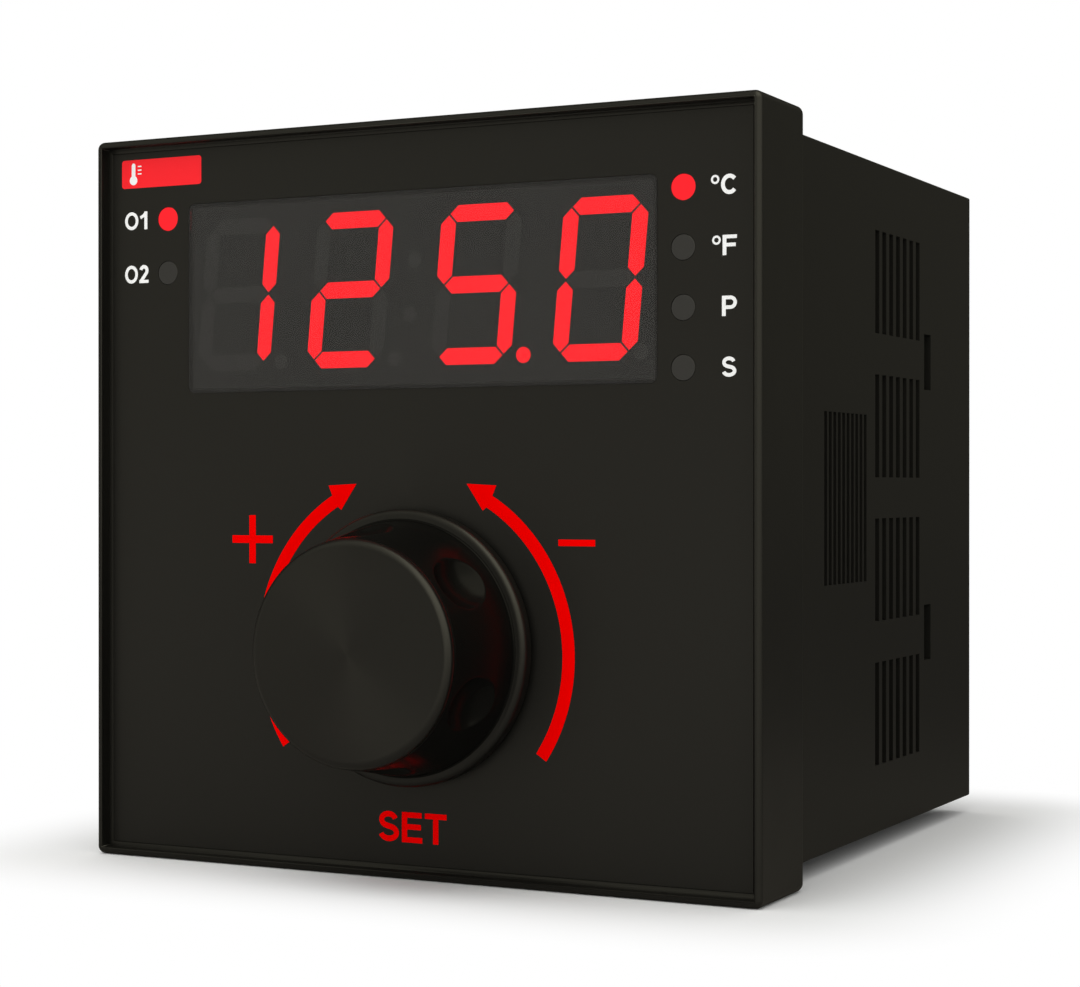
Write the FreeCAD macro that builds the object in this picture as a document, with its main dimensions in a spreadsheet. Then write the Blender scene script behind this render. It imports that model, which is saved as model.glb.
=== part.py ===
"""Panel-mounted temperature controller with a 96 x 96 mm bezel, as a parametric document.

Frame: millimetres, +Z up, the front faces -Y. The origin is the centre of the panel
cut-out, on the face of the panel that the bezel seats against.
"""
import FreeCAD, Part
import math
import os
import re
import Sketcher

Vector = FreeCAD.Vector

# ---------------------------------------------------------------- driving sizes
SIZES = {
    # bezel
    "bezel_side": 96, "bezel_deep": 15, "bezel_corner": 1.0, "rim_wide": 0.9, "rim_round": 0.8,
    "back_round": 1.2, "plate_thick": 2.5, "recess_deep": 1.7,
    # front film and window
    "film_thick": 0.3, "film_ledge": 0.7, "film_seam": 0.1, "window_wide": 68.1, "window_tall": 25.2,
    "window_drop": 21.5, "window_corner": 1.0, "window_ledge": 0.6, "bond_gap": 0.05,
    # digits
    "digit_tall": 20.0, "digit_wide": 11.4, "digit_lift": 0.3, "slant_angle": 5.2,
    "stroke_wide": 2.1, "stroke_gap": 0.35, "stroke_deep": 1.5, "digit_margin": 7.75,
    "inner_digit": 9.2, "point_side": 6.6, "last_point_side": 5.4, "point_wide": 2.0, "colon_up": 3.4,
    # indicator lamps
    "lamp_wide": 3.1, "lamp_gap": 3.35, "lamp_pitch": 7.2,
    "lamp_collar": 4.4, "lamp_collar_thick": 1.0, "lamp_chip": 0.8,
    # knob
    "knob_rise": 29.2, "knob_reach": 13.8, "knob_face_wide": 27.8, "knob_foot_wide": 32.2,
    "skirt_lap": 1.4, "skirt_front": 1.0, "skirt_round": 0.8, "knob_round": 1.1,
    "knob_top": 2.0, "knob_hollow_top": 23.6, "knob_hollow_foot": 26.8, "hub_wide": 10.6,
    "dimple_round": 6.0, "dimple_sink": 1.6, "dimple_place": 8.2, "dimple_turn": 36,
    "dimple_count": 6,
    "push_travel": 0.5, "knob_lift": 0.2,
    # encoder
    "shaft_wide": 6.0, "shaft_flat": 1.5, "flat_long": 9.0, "tail_wide": 4.0, "tail_flat": 0.8,
    "bushing_wide": 7.0, "bushing_reach": 7.0, "bushing_plate": 12.4, "bushing_plate_thick": 1.2,
    "washer_wide": 12.0, "washer_thick": 0.5, "nut_flats": 10.0, "nut_thick": 2.0,
    "film_eye": 15.0, "base_floor": 0.4, "base_hollow": 10.6, "rotor_wide": 10.0,
    "rotor_thick": 2.2, "rotor_gap": 0.3, "plunger_wide": 4.6, "plunger_thick": 0.8,
    "contact_thick": 0.1, "run_gap": 0.05, "fit_gap": 0.1,
    # display board
    "board_thick": 1.6, "board_depth": 11.5, "front_board_gap": 1.2, "boss_inset": 4.9,
    "boss_drop": 5.9, "boss_wide": 5.6, "pilot_wide": 2.0,
    "screw_head_wide": 4.4, "screw_head_thick": 1.6, "screw_long": 6.0,
    # case
    "bezel_lap": 2.4, "case_reach": 78.4, "case_wall": 2.0, "case_round": 0.3,
    "vent_wide": 1.7, "vent_long": 14.0, "vent_pitch": 3.0, "vent_first": 34.5,
    "vent_count": 7, "vent_rise": 19.6, "vent_groups": 4,
    "tooth_pitch": 1.73, "tooth_wide": 1.1, "tooth_deep": 0.6, "tooth_long": 22.4,
    "tooth_first": 13.9, "tooth_count": 10,
    "clamp_slot_wide": 3.1, "clamp_slot_long": 8.0, "clamp_slot_place": 57.1,
    "clamp_slot_rise": 19.5,
    "post_side": 7.0, "post_long": 12.0, "guide_wide": 1.5, "guide_tall": 2.0,
    "guide_gap": 0.4,
    # long boards
    "board_inset": 11.2, "long_board_front": 1.0, "long_board_lap": 3.6,
    "header_thick": 2.5, "header_deep": 8.5, "header_long": 40.0,
    # rear cover and terminals
    "cover_thick": 2.0, "cover_sink": 0.6, "cover_screw_wide": 3.0, "cover_head_wide": 5.6,
    "cover_bite": 6.0,
    "block_wide": 14.0, "block_inset": 3.6, "block_deep": 14.0, "cell_margin": 0.6,
    "cell_count": 12, "screw_hole_wide": 3.9, "screw_hole_side": 3.3, "entry_wide": 3.4,
    "entry_tall": 3.0, "entry_side": 3.2, "cell_deep": 7.5, "clamp_long": 10.6,
    "clamp_tall": 4.6, "clamp_thick": 2.4, "clamp_screw_wide": 3.5, "clamp_screw_head": 2.0,
    "clamp_shank_wide": 2.5, "driver_slot": 0.6,
    # parts on the long boards
    "core_deep": 28.0, "core_tall": 32.0, "core_leg": 8.0, "coil_wide": 22.0,
    "coil_lap": 3.0, "transformer_gap": 6.4, "transformer_up": -17.0,
    "relay_wide": 15.5, "relay_deep": 19.0, "relay_tall": 15.5, "relay_gap": 6.9, "relay_count": 2,
    "relay_up": 14.0, "relay_rise": 18.0, "can_wide": 10.0, "can_tall": 16.0,
    "can_back": 15.0, "can_up": -28.0, "can_rise": 14.0, "can_count": 3,
    "chip_side": 12.0, "chip_thick": 1.6, "chip_back": 30.0, "chip_up": 10.0,
    "converter_side": 8.0, "converter_up": -16.0,
}

# ---------------------------------------------------------------- derived places
# Each is a formula of driving sizes. Depths run along +Y from the panel plane.
DERIVED = {
    "front": "-bezel_deep",
    "window_up": "bezel_side / 2 - window_drop",
    "knob_up": "knob_rise - bezel_side / 2",
    "case_side": "bezel_side - 2 * bezel_lap",
    "film_face": "front + recess_deep",
    "film_back": "film_face + film_thick",
    "plate_back": "film_back + plate_thick",
    "film_side": "bezel_side - 2 * rim_wide - 2 * film_ledge",
    "digit_up": "window_up + digit_lift",
    "outer_digit": "window_wide / 2 - digit_margin",
    "lamp_side": "window_wide / 2 + lamp_gap",
    "lamp_top": "window_up + lamp_pitch * 3 / 2",
    "board_front": "front + board_depth",
    "board_back": "board_front + board_thick",
    "module_front": "film_back + bond_gap",
    "module_wide": "window_wide - 2 * window_ledge - 2 * fit_gap",
    "module_tall": "window_tall - 2 * window_ledge - 2 * fit_gap",
    "skirt_wide": "knob_foot_wide + 2 * skirt_lap",
    "knob_face": "front - knob_reach",
    "skirt_face": "front - skirt_front",
    "skirt_back": "film_face - push_travel - knob_lift",
    "knob_ceiling": "knob_face + knob_top",
    "bushing_tip": "plate_back - bushing_reach",
    "hub_foot": "bushing_tip - push_travel - knob_lift - fit_gap",
    "base_front": "plate_back + bushing_plate_thick",
    "switch_floor": "board_front - base_floor - contact_thick",
    "plunger_front": "switch_floor - push_travel - plunger_thick - run_gap",
    "step_back": "plunger_front - rotor_gap",
    "rotor_front": "step_back - rotor_thick",
    "shaft_step": "rotor_front - push_travel - run_gap",
    "case_inside": "case_side - 2 * case_wall",
    "front_board_side": "case_inside - 2 * front_board_gap",
    "boss_side": "front_board_side / 2 - boss_inset",
    "boss_low": "boss_inset - front_board_side / 2",
    "boss_top": "window_up - window_tall / 2 - boss_drop",
    "cover_back": "case_reach - cover_sink",
    "cover_front": "cover_back - cover_thick",
    "block_front": "case_reach - block_deep",
    "long_board_place": "case_side / 2 - board_inset",
    "block_place": "long_board_place - block_wide / 2",
    "block_tall": "case_side - 2 * block_inset",
    "cell_pitch": "(block_tall - 2 * cell_margin) / cell_count",
    "long_board_back": "block_front + long_board_lap",
    "core_start": "block_front - transformer_gap - core_deep",
    "relay_start": "block_front - relay_gap - relay_deep",
    "board_reach": "case_inside - 2 * fit_gap",
    "cell_first": "-cell_pitch * (cell_count - 1) / 2",
    "clamp_front": "case_reach - cell_deep",
}

doc = FreeCAD.newDocument("temperature_controller")
sheet = doc.addObject("Spreadsheet::Sheet", "Sizes")
for row, (alias, value) in enumerate(SIZES.items(), start=1):
    sheet.set("A%d" % row, alias)
    sheet.set("B%d" % row, str(value))
    sheet.setAlias("B%d" % row, alias)
doc.recompute()


def bound(formula):
    """Turn a formula of named sizes and places into an expression on the sheet."""
    def swap(match):
        word = match.group(0)
        if word in DERIVED:
            return "(" + bound(DERIVED[word]) + ")"
        if word in SIZES:
            return "Sizes." + word
        return word
    return re.sub(r"[a-z][a-z_]*", swap, str(formula))


def number(formula):
    """The present value of a formula."""
    return float(sheet.evalExpression(bound(formula)))


def bind(item, settings):
    """Bind properties of an object to formulas."""
    for name, formula in settings.items():
        item.setExpression(name, bound(formula))


# ---------------------------------------------------------------- Part Design helpers
def new_body(label):
    body = doc.addObject("PartDesign::Body", label)
    body.Label = label
    return body


def origin_part(body, role):
    """A plane or an axis of the body's own origin."""
    return next(item for item in body.Origin.OriginFeatures if item.Role == role)


def sketch_on(body, name, role, across=0, up=0, out=0):
    """A sketch on an origin plane. On XZ, across is X, up is Z and out is -Y."""
    sketch = body.newObject("Sketcher::SketchObject", body.Label + "_" + name)
    sketch.AttachmentSupport = [(origin_part(body, role), "")]
    sketch.MapMode = "FlatFace"
    bind(sketch, {"AttachmentOffset.Base.x": across, "AttachmentOffset.Base.y": up,
                  "AttachmentOffset.Base.z": out})
    return sketch


def front_sketch(body, name, depth, across=0, up=0):
    """A sketch parallel to the panel at a depth along +Y."""
    return sketch_on(body, name, "XZ_Plane", across, up, "-(%s)" % depth)


def rectangle(sketch, wide, tall):
    """A rectangle centred on the sketch's own origin."""
    x, y = number(wide) / 2, number(tall) / 2
    corners = [Vector(-x, -y), Vector(x, -y), Vector(x, y), Vector(-x, y)]
    for i in range(4):
        sketch.addGeometry(Part.LineSegment(corners[i], corners[(i + 1) % 4]))
    for i in range(4):
        sketch.addConstraint(Sketcher.Constraint("Coincident", i, 2, (i + 1) % 4, 1))
    for i in (0, 2):
        sketch.addConstraint(Sketcher.Constraint("Horizontal", i))
    for i in (1, 3):
        sketch.addConstraint(Sketcher.Constraint("Vertical", i))
    sketch.addConstraint(Sketcher.Constraint("Symmetric", 0, 1, 1, 2, -1, 1))
    for name, kind, edge, formula, length in (("wide", "DistanceX", 0, wide, 2 * x),
                                              ("tall", "DistanceY", 1, tall, 2 * y)):
        mark = sketch.addConstraint(Sketcher.Constraint(kind, edge, 1, edge, 2, length))
        sketch.renameConstraint(mark, name)
        bind(sketch, {"Constraints." + name: formula})
    return sketch


def circle(sketch, wide):
    """A circle about the sketch's own origin."""
    radius = number(wide) / 2
    sketch.addGeometry(Part.Circle(Vector(0, 0, 0), Vector(0, 0, 1), radius))
    sketch.addConstraint(Sketcher.Constraint("Coincident", 0, 3, -1, 1))
    mark = sketch.addConstraint(Sketcher.Constraint("Radius", 0, radius))
    sketch.renameConstraint(mark, "round")
    bind(sketch, {"Constraints.round": "(%s) / 2" % wide})
    return sketch


def pad(body, sketch, length, backward=True):
    """Extrude a sketch: backward runs along +Y from a front sketch."""
    feature = body.newObject("PartDesign::Pad", sketch.Name + "_pad")
    feature.Profile = sketch
    feature.Reversed = backward
    bind(feature, {"Length": length})
    return feature


def pocket(body, sketch, length, turned=False):
    """Cut a sketch into the body, along +Y from a front sketch."""
    feature = body.newObject("PartDesign::Pocket", sketch.Name + "_cut")
    feature.Profile = sketch
    feature.Reversed = turned
    bind(feature, {"Length": length})
    return feature


def row(body, feature, axis, span, count, name="row"):
    """Repeat features along an origin axis, count times over a span."""
    pattern = body.newObject("PartDesign::LinearPattern", body.Label + "_" + name)
    pattern.Originals = feature if isinstance(feature, list) else [feature]
    pattern.Direction = (origin_part(body, axis), [""])
    bind(pattern, {"Length": span, "Occurrences": count})
    body.Tip = pattern
    return pattern


def fillet(body, round_size, chosen, name="round"):
    """Round those edges of the body that chosen(edge) picks."""
    doc.recompute()
    tip = body.Tip
    edges = ["Edge%d" % (i + 1) for i, edge in enumerate(tip.Shape.Edges) if chosen(edge)]
    feature = body.newObject("PartDesign::Fillet", body.Label + "_" + name)
    feature.Base = (tip, edges)
    bind(feature, {"Radius": round_size})
    body.Tip = feature
    return feature


def along(edge, axis):
    """True for a straight edge that runs along one axis."""
    if edge.Curve.TypeId != "Part::GeomLine":
        return False
    return abs(abs(getattr(edge.Curve.Direction, axis)) - 1) < 1e-6


def at_depth(edge, depth):
    """True for an edge that lies wholly at one depth."""
    box = edge.BoundBox
    return abs(box.YMin - depth) < 1e-4 and abs(box.YMax - depth) < 1e-4


# ---------------------------------------------------------------- Part helpers
def block(name, centre, spans):
    """A box from formulas: (X centre, Y start, Z centre) and (X, Y, Z) spans."""
    box = doc.addObject("Part::Box", name)
    bind(box, {"Length": spans[0], "Width": spans[1], "Height": spans[2],
               "Placement.Base.x": "(%s) - (%s) / 2" % (centre[0], spans[0]),
               "Placement.Base.y": centre[1],
               "Placement.Base.z": "(%s) - (%s) / 2" % (centre[2], spans[2])})
    return box


def rod(name, start, wide, length, axis=Vector(0, 1, 0)):
    """A cylinder from formulas: its start point, its width and its length along an axis."""
    cylinder = doc.addObject("Part::Cylinder", name)
    cylinder.Placement.Rotation = FreeCAD.Rotation(Vector(0, 0, 1), axis)
    bind(cylinder, {"Radius": "(%s) / 2" % wide, "Height": length,
                    "Placement.Base.x": start[0], "Placement.Base.y": start[1],
                    "Placement.Base.z": start[2]})
    return cylinder


def joined(name, pieces):
    """One solid from several that meet."""
    fuse = doc.addObject("Part::MultiFuse", name)
    fuse.Shapes = pieces
    fuse.Refine = True
    return fuse


def cut(name, base, tool):
    result = doc.addObject("Part::Cut", name)
    result.Base = base
    result.Tool = tool
    return result


def group(name, pieces):
    """Separate solids that share one node."""
    compound = doc.addObject("Part::Compound", name)
    compound.Links = pieces
    return compound


NODES = []


def keep(item, label):
    """Name a finished sub-part, which is written as a node."""
    item.Label = label
    NODES.append(item)
    return item


# ---------------------------------------------------------------- front
def front_bezel():
    body = new_body("front_bezel")
    outer = rectangle(front_sketch(body, "outer", "front"), "bezel_side", "bezel_side")
    pad(body, outer, "bezel_deep")
    fillet(body, "bezel_corner", lambda edge: along(edge, "y"), "corners")
    fillet(body, "rim_round", lambda edge: at_depth(edge, number("front")), "rim")
    fillet(body, "back_round", lambda edge: at_depth(edge, 0), "back")
    recess = "bezel_side - 2 * rim_wide"
    pocket(body, rectangle(front_sketch(body, "recess", "front"), recess, recess),
           "recess_deep")
    bed = "film_side + 2 * film_seam"
    pocket(body, rectangle(front_sketch(body, "bed", "film_face"), bed, bed), "film_thick")
    hollow = "case_side + 2 * fit_gap"
    pocket(body, rectangle(front_sketch(body, "hollow", "plate_back"), hollow, hollow),
           "-(plate_back)")
    opening = front_sketch(body, "window", "film_back", 0, "window_up")
    rectangle(opening, "window_wide - 2 * window_ledge", "window_tall - 2 * window_ledge")
    pocket(body, opening, "plate_thick")
    eye = circle(front_sketch(body, "eye", "film_back", 0, "knob_up"),
                 "bushing_wide + 2 * fit_gap")
    pocket(body, eye, "plate_thick")
    for name, side, count in (("left", "-lamp_side", 2), ("right", "lamp_side", 4)):
        low = "lamp_top - lamp_pitch * %d" % (count - 1)
        hole = circle(front_sketch(body, name + "_lamp", "film_back", side, low),
                      "lamp_wide + 2 * bond_gap")
        first = pocket(body, hole, "plate_thick")
        row(body, first, "Z_Axis", "lamp_pitch * %d" % (count - 1), str(count), name + "_lamps")
    for x_sign in (-1, 1):
        for up in ("boss_low", "boss_top"):
            place = ("%d * boss_side" % x_sign, up)
            name = "%s_%d" % (up, x_sign + 1)
            post = front_sketch(body, name, "plate_back", *place)
            pad(body, circle(post, "boss_wide"), "board_front - (plate_back)")
            pilot = front_sketch(body, "pilot_" + name, "board_front - screw_long", *place)
            pocket(body, circle(pilot, "pilot_wide"), "screw_long")
    return keep(body, "front_bezel")


def front_film():
    body = new_body("front_film")
    pad(body, rectangle(front_sketch(body, "sheet", "film_face"), "film_side", "film_side"),
        "film_thick")
    window = front_sketch(body, "window", "film_face", 0, "window_up")
    pocket(body, rectangle(window, "window_wide", "window_tall"), "film_thick")
    corner = number("window_up + window_tall / 2")
    floor = number("window_up - window_tall / 2")
    edge_x = number("window_wide / 2")

    def window_corner(edge):
        box = edge.BoundBox
        at_side = abs(abs(box.XMin) - edge_x) < 1e-4
        return along(edge, "y") and at_side and min(abs(box.ZMin - corner),
                                                    abs(box.ZMin - floor)) < 1e-4
    fillet(body, "window_corner", window_corner)
    eye = front_sketch(body, "eye", "film_face", 0, "knob_up")
    pocket(body, circle(eye, "film_eye"), "film_thick")
    for name, side, count in (("left", "-lamp_side", 2), ("right", "lamp_side", 4)):
        low = "lamp_top - lamp_pitch * %d" % (count - 1)
        hole = circle(front_sketch(body, name + "_lamp", "film_face", side, low),
                      "lamp_wide + 2 * bond_gap")
        first = pocket(body, hole, "film_thick")
        row(body, first, "Z_Axis", "lamp_pitch * %d" % (count - 1), str(count), name + "_lamps")
    return keep(body, "front_film")


def display_window():
    body = new_body("display_window")
    pane = front_sketch(body, "pane", "film_face", 0, "window_up")
    pad(body, rectangle(pane, "window_wide - 2 * bond_gap", "window_tall - 2 * bond_gap"),
        "film_thick")
    fillet(body, "window_corner - bond_gap", lambda edge: along(edge, "y"))
    return keep(body, "display_window")


def indicator_lamp(label, side, row_number):
    """A light pipe with a collar behind the front plate."""
    up = "lamp_top - lamp_pitch * %d" % row_number
    pipe = rod(label + "_pipe", (side, "film_face", up), "lamp_wide",
               "board_front - lamp_chip - run_gap - (film_face)")
    collar = rod(label + "_collar", (side, "plate_back", up), "lamp_collar",
                 "lamp_collar_thick")
    return keep(joined(label, [pipe, collar]), label)


def lamp_chips():
    """Six light-emitting chips on the display board, one behind each light pipe."""
    chips = []
    for side, count in (("-lamp_side", 2), ("lamp_side", 4)):
        for i in range(count):
            up = "lamp_top - lamp_pitch * %d" % i
            chips.append(block("chip_%d" % len(chips), (side, "board_front - lamp_chip", up),
                               ("lamp_wide * 0.6", "lamp_chip", "lamp_wide * 0.6")))
    return keep(group("lamp_chips", chips), "lamp_chips")


# ---------------------------------------------------------------- digits
# A segment lies between two nodes of the figure eight. Each is a bar with pointed ends.
SEGMENT_ENDS = {
    "a": ((-1, 2), (1, 2)), "b": ((1, 2), (1, 0)), "c": ((1, 0), (1, -2)),
    "d": ((-1, -2), (1, -2)), "e": ((-1, 0), (-1, -2)), "f": ((-1, 2), (-1, 0)),
    "g": ((-1, 0), (1, 0)),
}
SHOWN = ("bc", "abdeg", "acdfg", "abcdef")


def digit_centres():
    outer, inner = number("outer_digit"), number("inner_digit")
    return (-outer, -inner, inner, outer)


def leaned(x, z):
    """Lean a point of a digit by the slant, about the middle of the digit."""
    lean = math.tan(math.radians(number("slant_angle")))
    return Vector(x + z * lean, number("module_front"), z + number("digit_up"))


def segment(centre, name):
    stroke, gap = number("stroke_wide") / 2, number("stroke_gap") / 2
    half_wide = number("digit_wide") / 2 - stroke
    half_tall = number("digit_tall") / 2 - stroke
    (x1, z1), (x2, z2) = [(a * half_wide, b * half_tall / 2) for a, b in SEGMENT_ENDS[name]]
    length = math.hypot(x2 - x1, z2 - z1)
    ux, uz = (x2 - x1) / length, (z2 - z1) / length
    points = []
    for distance, offset in ((gap, 0), (gap + stroke, stroke), (length - gap - stroke, stroke),
                             (length - gap, 0), (length - gap - stroke, -stroke),
                             (gap + stroke, -stroke)):
        x = centre + x1 + ux * distance - uz * offset
        z = z1 + uz * distance + ux * offset
        lean = leaned(x - centre, z)
        points.append(Vector(centre + lean.x, lean.y, lean.z))
    face = Part.Face(Part.makePolygon(points + points[:1]))
    return face.extrude(Vector(0, number("stroke_deep"), 0))


def dot(x, z):
    """A round point at a place given from the middle of the display."""
    start = Vector(x, number("module_front"), z + number("digit_up"))
    return Part.makeCylinder(number("point_wide") / 2, number("stroke_deep"), start,
                             Vector(0, 1, 0))


def display_shapes():
    """The solids that glow and those that are off."""
    lit, dark = [], []
    low = (number("point_wide") - number("digit_tall")) / 2
    for place, (centre, shown) in enumerate(zip(digit_centres(), SHOWN)):
        for name in SEGMENT_ENDS:
            (lit if name in shown else dark).append(segment(centre, name))
        side = "last_point_side" if place == len(SHOWN) - 1 else "point_side"
        (lit if place == 2 else dark).append(dot(centre + number(side), low))
    for up in (number("colon_up"), -number("colon_up")):
        dark.append(dot(up * math.tan(math.radians(number("slant_angle"))), up))
    return lit, dark


def display():
    lit, dark = display_shapes()
    for label, solids in (("lit_segments", lit), ("unlit_segments", dark)):
        item = doc.addObject("Part::Feature", label)
        item.Shape = Part.makeCompound(solids)
        keep(item, label)
    body = block("module_body", ("0", "module_front", "window_up"),
                 ("module_wide", "board_front - (module_front)", "module_tall"))
    wells = doc.addObject("Part::Feature", "module_wells")
    wells.Shape = Part.makeCompound(lit + dark)
    return keep(cut("display_module", body, wells), "display_module")


# ---------------------------------------------------------------- knob and encoder
def set_in_front(body, feature, depth):
    """Attach a solid primitive to the front plane, on the knob's axis, so that it grows to -Y."""
    feature.AttachmentSupport = [(origin_part(body, "XZ_Plane"), "")]
    feature.MapMode = "FlatFace"
    bind(feature, {"AttachmentOffset.Base.y": "knob_up", "AttachmentOffset.Base.z": depth})


def control_knob():
    """A hollow cone with six finger dimples, on a round skirt, with a hub for the shaft."""
    body = new_body("control_knob")
    cone = body.newObject("PartDesign::AdditiveCone", "knob_cone")
    set_in_front(body, cone, "-(skirt_face)")
    bind(cone, {"Radius1": "knob_foot_wide / 2", "Radius2": "knob_face_wide / 2",
                "Height": "knob_reach - skirt_front"})
    fillet(body, "knob_round", lambda edge: at_depth(edge, number("knob_face")), "face_round")
    share = "(dimple_place - skirt_front) / (knob_reach - skirt_front)"
    wall = "(knob_foot_wide + (knob_face_wide - knob_foot_wide) * %s) / 2" % share
    away = "(%s + dimple_round - dimple_sink)" % wall
    sphere = body.newObject("PartDesign::SubtractiveSphere", "knob_dimple")
    set_in_front(body, sphere, "-(front) + dimple_place")
    bind(sphere, {"Radius": "dimple_round",
                  "AttachmentOffset.Base.x": away + " * cos(dimple_turn * 1 deg)",
                  "AttachmentOffset.Base.y": "knob_up + " + away + " * sin(dimple_turn * 1 deg)"})
    doc.recompute()
    turn = front_sketch(body, "turn", "skirt_face", 0, "knob_up")
    turn.addGeometry(Part.Point(Vector(0, 0, 0)), True)
    dimples = body.newObject("PartDesign::PolarPattern", "knob_dimples")
    dimples.Originals = [sphere]
    dimples.Axis = (turn, ["N_Axis"])
    dimples.Angle = 360
    bind(dimples, {"Occurrences": "dimple_count"})
    body.Tip = dimples
    skirt = circle(front_sketch(body, "skirt", "skirt_face", 0, "knob_up"), "skirt_wide")
    pad(body, skirt, "skirt_back - (skirt_face)")
    rim = number("skirt_wide") / 2
    fillet(body, "skirt_round", lambda edge: at_depth(edge, number("skirt_face")) and
           edge.BoundBox.XMax > rim - 0.01, "skirt_edge")
    hollow = body.newObject("PartDesign::SubtractiveCone", "knob_hollow")
    set_in_front(body, hollow, "-(skirt_back)")
    bind(hollow, {"Radius1": "knob_hollow_foot / 2", "Radius2": "knob_hollow_top / 2",
                  "Height": "skirt_back - (knob_ceiling)"})
    hub = circle(front_sketch(body, "hub", "knob_ceiling", 0, "knob_up"), "hub_wide")
    pad(body, hub, "hub_foot - (knob_ceiling)")
    bore = front_sketch(body, "bore", "knob_ceiling", 0, "knob_up")
    flatted_circle(bore, "shaft_wide + 2 * run_gap", "shaft_wide / 2 - shaft_flat + run_gap")
    pocket(body, bore, "hub_foot - (knob_ceiling)")
    return keep(body, "control_knob")


def flatted_circle(sketch, wide, flat):
    """A circle with one flat on its upper side, at a distance from its centre."""
    radius, level = number(wide) / 2, number(flat)
    angle = math.asin(level / radius)
    arc = Part.ArcOfCircle(Part.Circle(Vector(0, 0, 0), Vector(0, 0, 1), radius),
                           math.pi - angle, 2 * math.pi + angle)
    sketch.addGeometry(arc)
    reach = math.cos(angle) * radius
    sketch.addGeometry(Part.LineSegment(Vector(reach, level), Vector(-reach, level)))
    for ends in ((0, 2, 1, 1), (1, 2, 0, 1), (0, 3, -1, 1)):
        sketch.addConstraint(Sketcher.Constraint("Coincident", *ends))
    sketch.addConstraint(Sketcher.Constraint("Horizontal", 1))
    for name, constraint, formula in (
            ("round", Sketcher.Constraint("Radius", 0, radius), "(%s) / 2" % wide),
            ("flat", Sketcher.Constraint("DistanceY", -1, 1, 1, 1, level), flat)):
        mark = sketch.addConstraint(constraint)
        sketch.renameConstraint(mark, name)
        bind(sketch, {"Constraints." + name: formula})
    return sketch


def encoder_shaft():
    """A shaft with a flat for the knob, a round bearing length and a flatted tail."""
    body = new_body("encoder_shaft")
    nose = front_sketch(body, "nose", "knob_ceiling", 0, "knob_up")
    flatted_circle(nose, "shaft_wide", "shaft_wide / 2 - shaft_flat")
    pad(body, nose, "flat_long")
    bearing = front_sketch(body, "bearing", "knob_ceiling + flat_long", 0, "knob_up")
    pad(body, circle(bearing, "shaft_wide"), "shaft_step - (knob_ceiling + flat_long)")
    tail = front_sketch(body, "tail", "shaft_step", 0, "knob_up")
    flatted_circle(tail, "tail_wide", "tail_wide / 2 - tail_flat")
    pad(body, tail, "plunger_front - (shaft_step)")
    return keep(body, "encoder_shaft")


def encoder_rotor():
    body = new_body("encoder_rotor")
    disc = front_sketch(body, "disc", "rotor_front", 0, "knob_up")
    pad(body, circle(disc, "rotor_wide"), "rotor_thick")
    bore = front_sketch(body, "bore", "rotor_front", 0, "knob_up")
    flatted_circle(bore, "tail_wide + 2 * run_gap", "tail_wide / 2 - tail_flat + run_gap")
    pocket(body, bore, "rotor_thick")
    return keep(body, "encoder_rotor")


def encoder_bushing():
    plate = block("bushing_flange", ("0", "plate_back", "knob_up"),
                  ("bushing_plate", "bushing_plate_thick", "bushing_plate"))
    barrel = rod("bushing_barrel", ("0", "bushing_tip", "knob_up"), "bushing_wide",
                 "bushing_reach + bushing_plate_thick")
    bore = rod("bushing_bore", ("0", "bushing_tip - 1", "knob_up"),
               "shaft_wide + 2 * run_gap", "bushing_reach + bushing_plate_thick + 2")
    solid = joined("bushing_solid", [plate, barrel])
    return keep(cut("encoder_bushing", solid, bore), "encoder_bushing")


def encoder_base():
    """A moulded cup: a wide hollow for the rotor and a narrow one for the switch."""
    body = new_body("encoder_base")
    outer = front_sketch(body, "outer", "base_front", 0, "knob_up")
    pad(body, rectangle(outer, "bushing_plate", "bushing_plate"), "board_front - (base_front)")
    wide = front_sketch(body, "wide", "base_front", 0, "knob_up")
    pocket(body, circle(wide, "base_hollow"), "step_back + run_gap - (base_front)")
    narrow = front_sketch(body, "narrow", "base_front", 0, "knob_up")
    pocket(body, circle(narrow, "plunger_wide + 2 * fit_gap"),
           "board_front - base_floor - (base_front)")
    return keep(body, "encoder_base")


def switch_parts():
    plunger = rod("push_plunger", ("0", "plunger_front", "knob_up"), "plunger_wide",
                  "plunger_thick")
    keep(plunger, "push_plunger")
    contact = rod("switch_contact", ("0", "switch_floor", "knob_up"), "plunger_wide",
                  "contact_thick")
    keep(contact, "switch_contact")


def encoder_fixings():
    washer = cut("encoder_washer",
                 rod("washer_disc", ("0", "film_back - washer_thick", "knob_up"),
                     "washer_wide", "washer_thick"),
                 rod("washer_eye", ("0", "film_back - washer_thick - 1", "knob_up"),
                     "bushing_wide + 2 * fit_gap", "washer_thick + 2"))
    keep(washer, "encoder_washer")
    prism = doc.addObject("Part::Prism", "nut_prism")
    prism.Polygon = 6
    prism.Placement.Rotation = FreeCAD.Rotation(Vector(0, 0, 1), Vector(0, 1, 0))
    bind(prism, {"Circumradius": "nut_flats / (2 * cos(30 deg))", "Height": "nut_thick",
                 "Placement.Base.y": "film_back - washer_thick - nut_thick",
                 "Placement.Base.z": "knob_up"})
    eye = rod("nut_eye", ("0", "film_back - washer_thick - nut_thick - 1", "knob_up"),
              "bushing_wide", "nut_thick + 2")
    keep(cut("encoder_nut", prism, eye), "encoder_nut")


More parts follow.
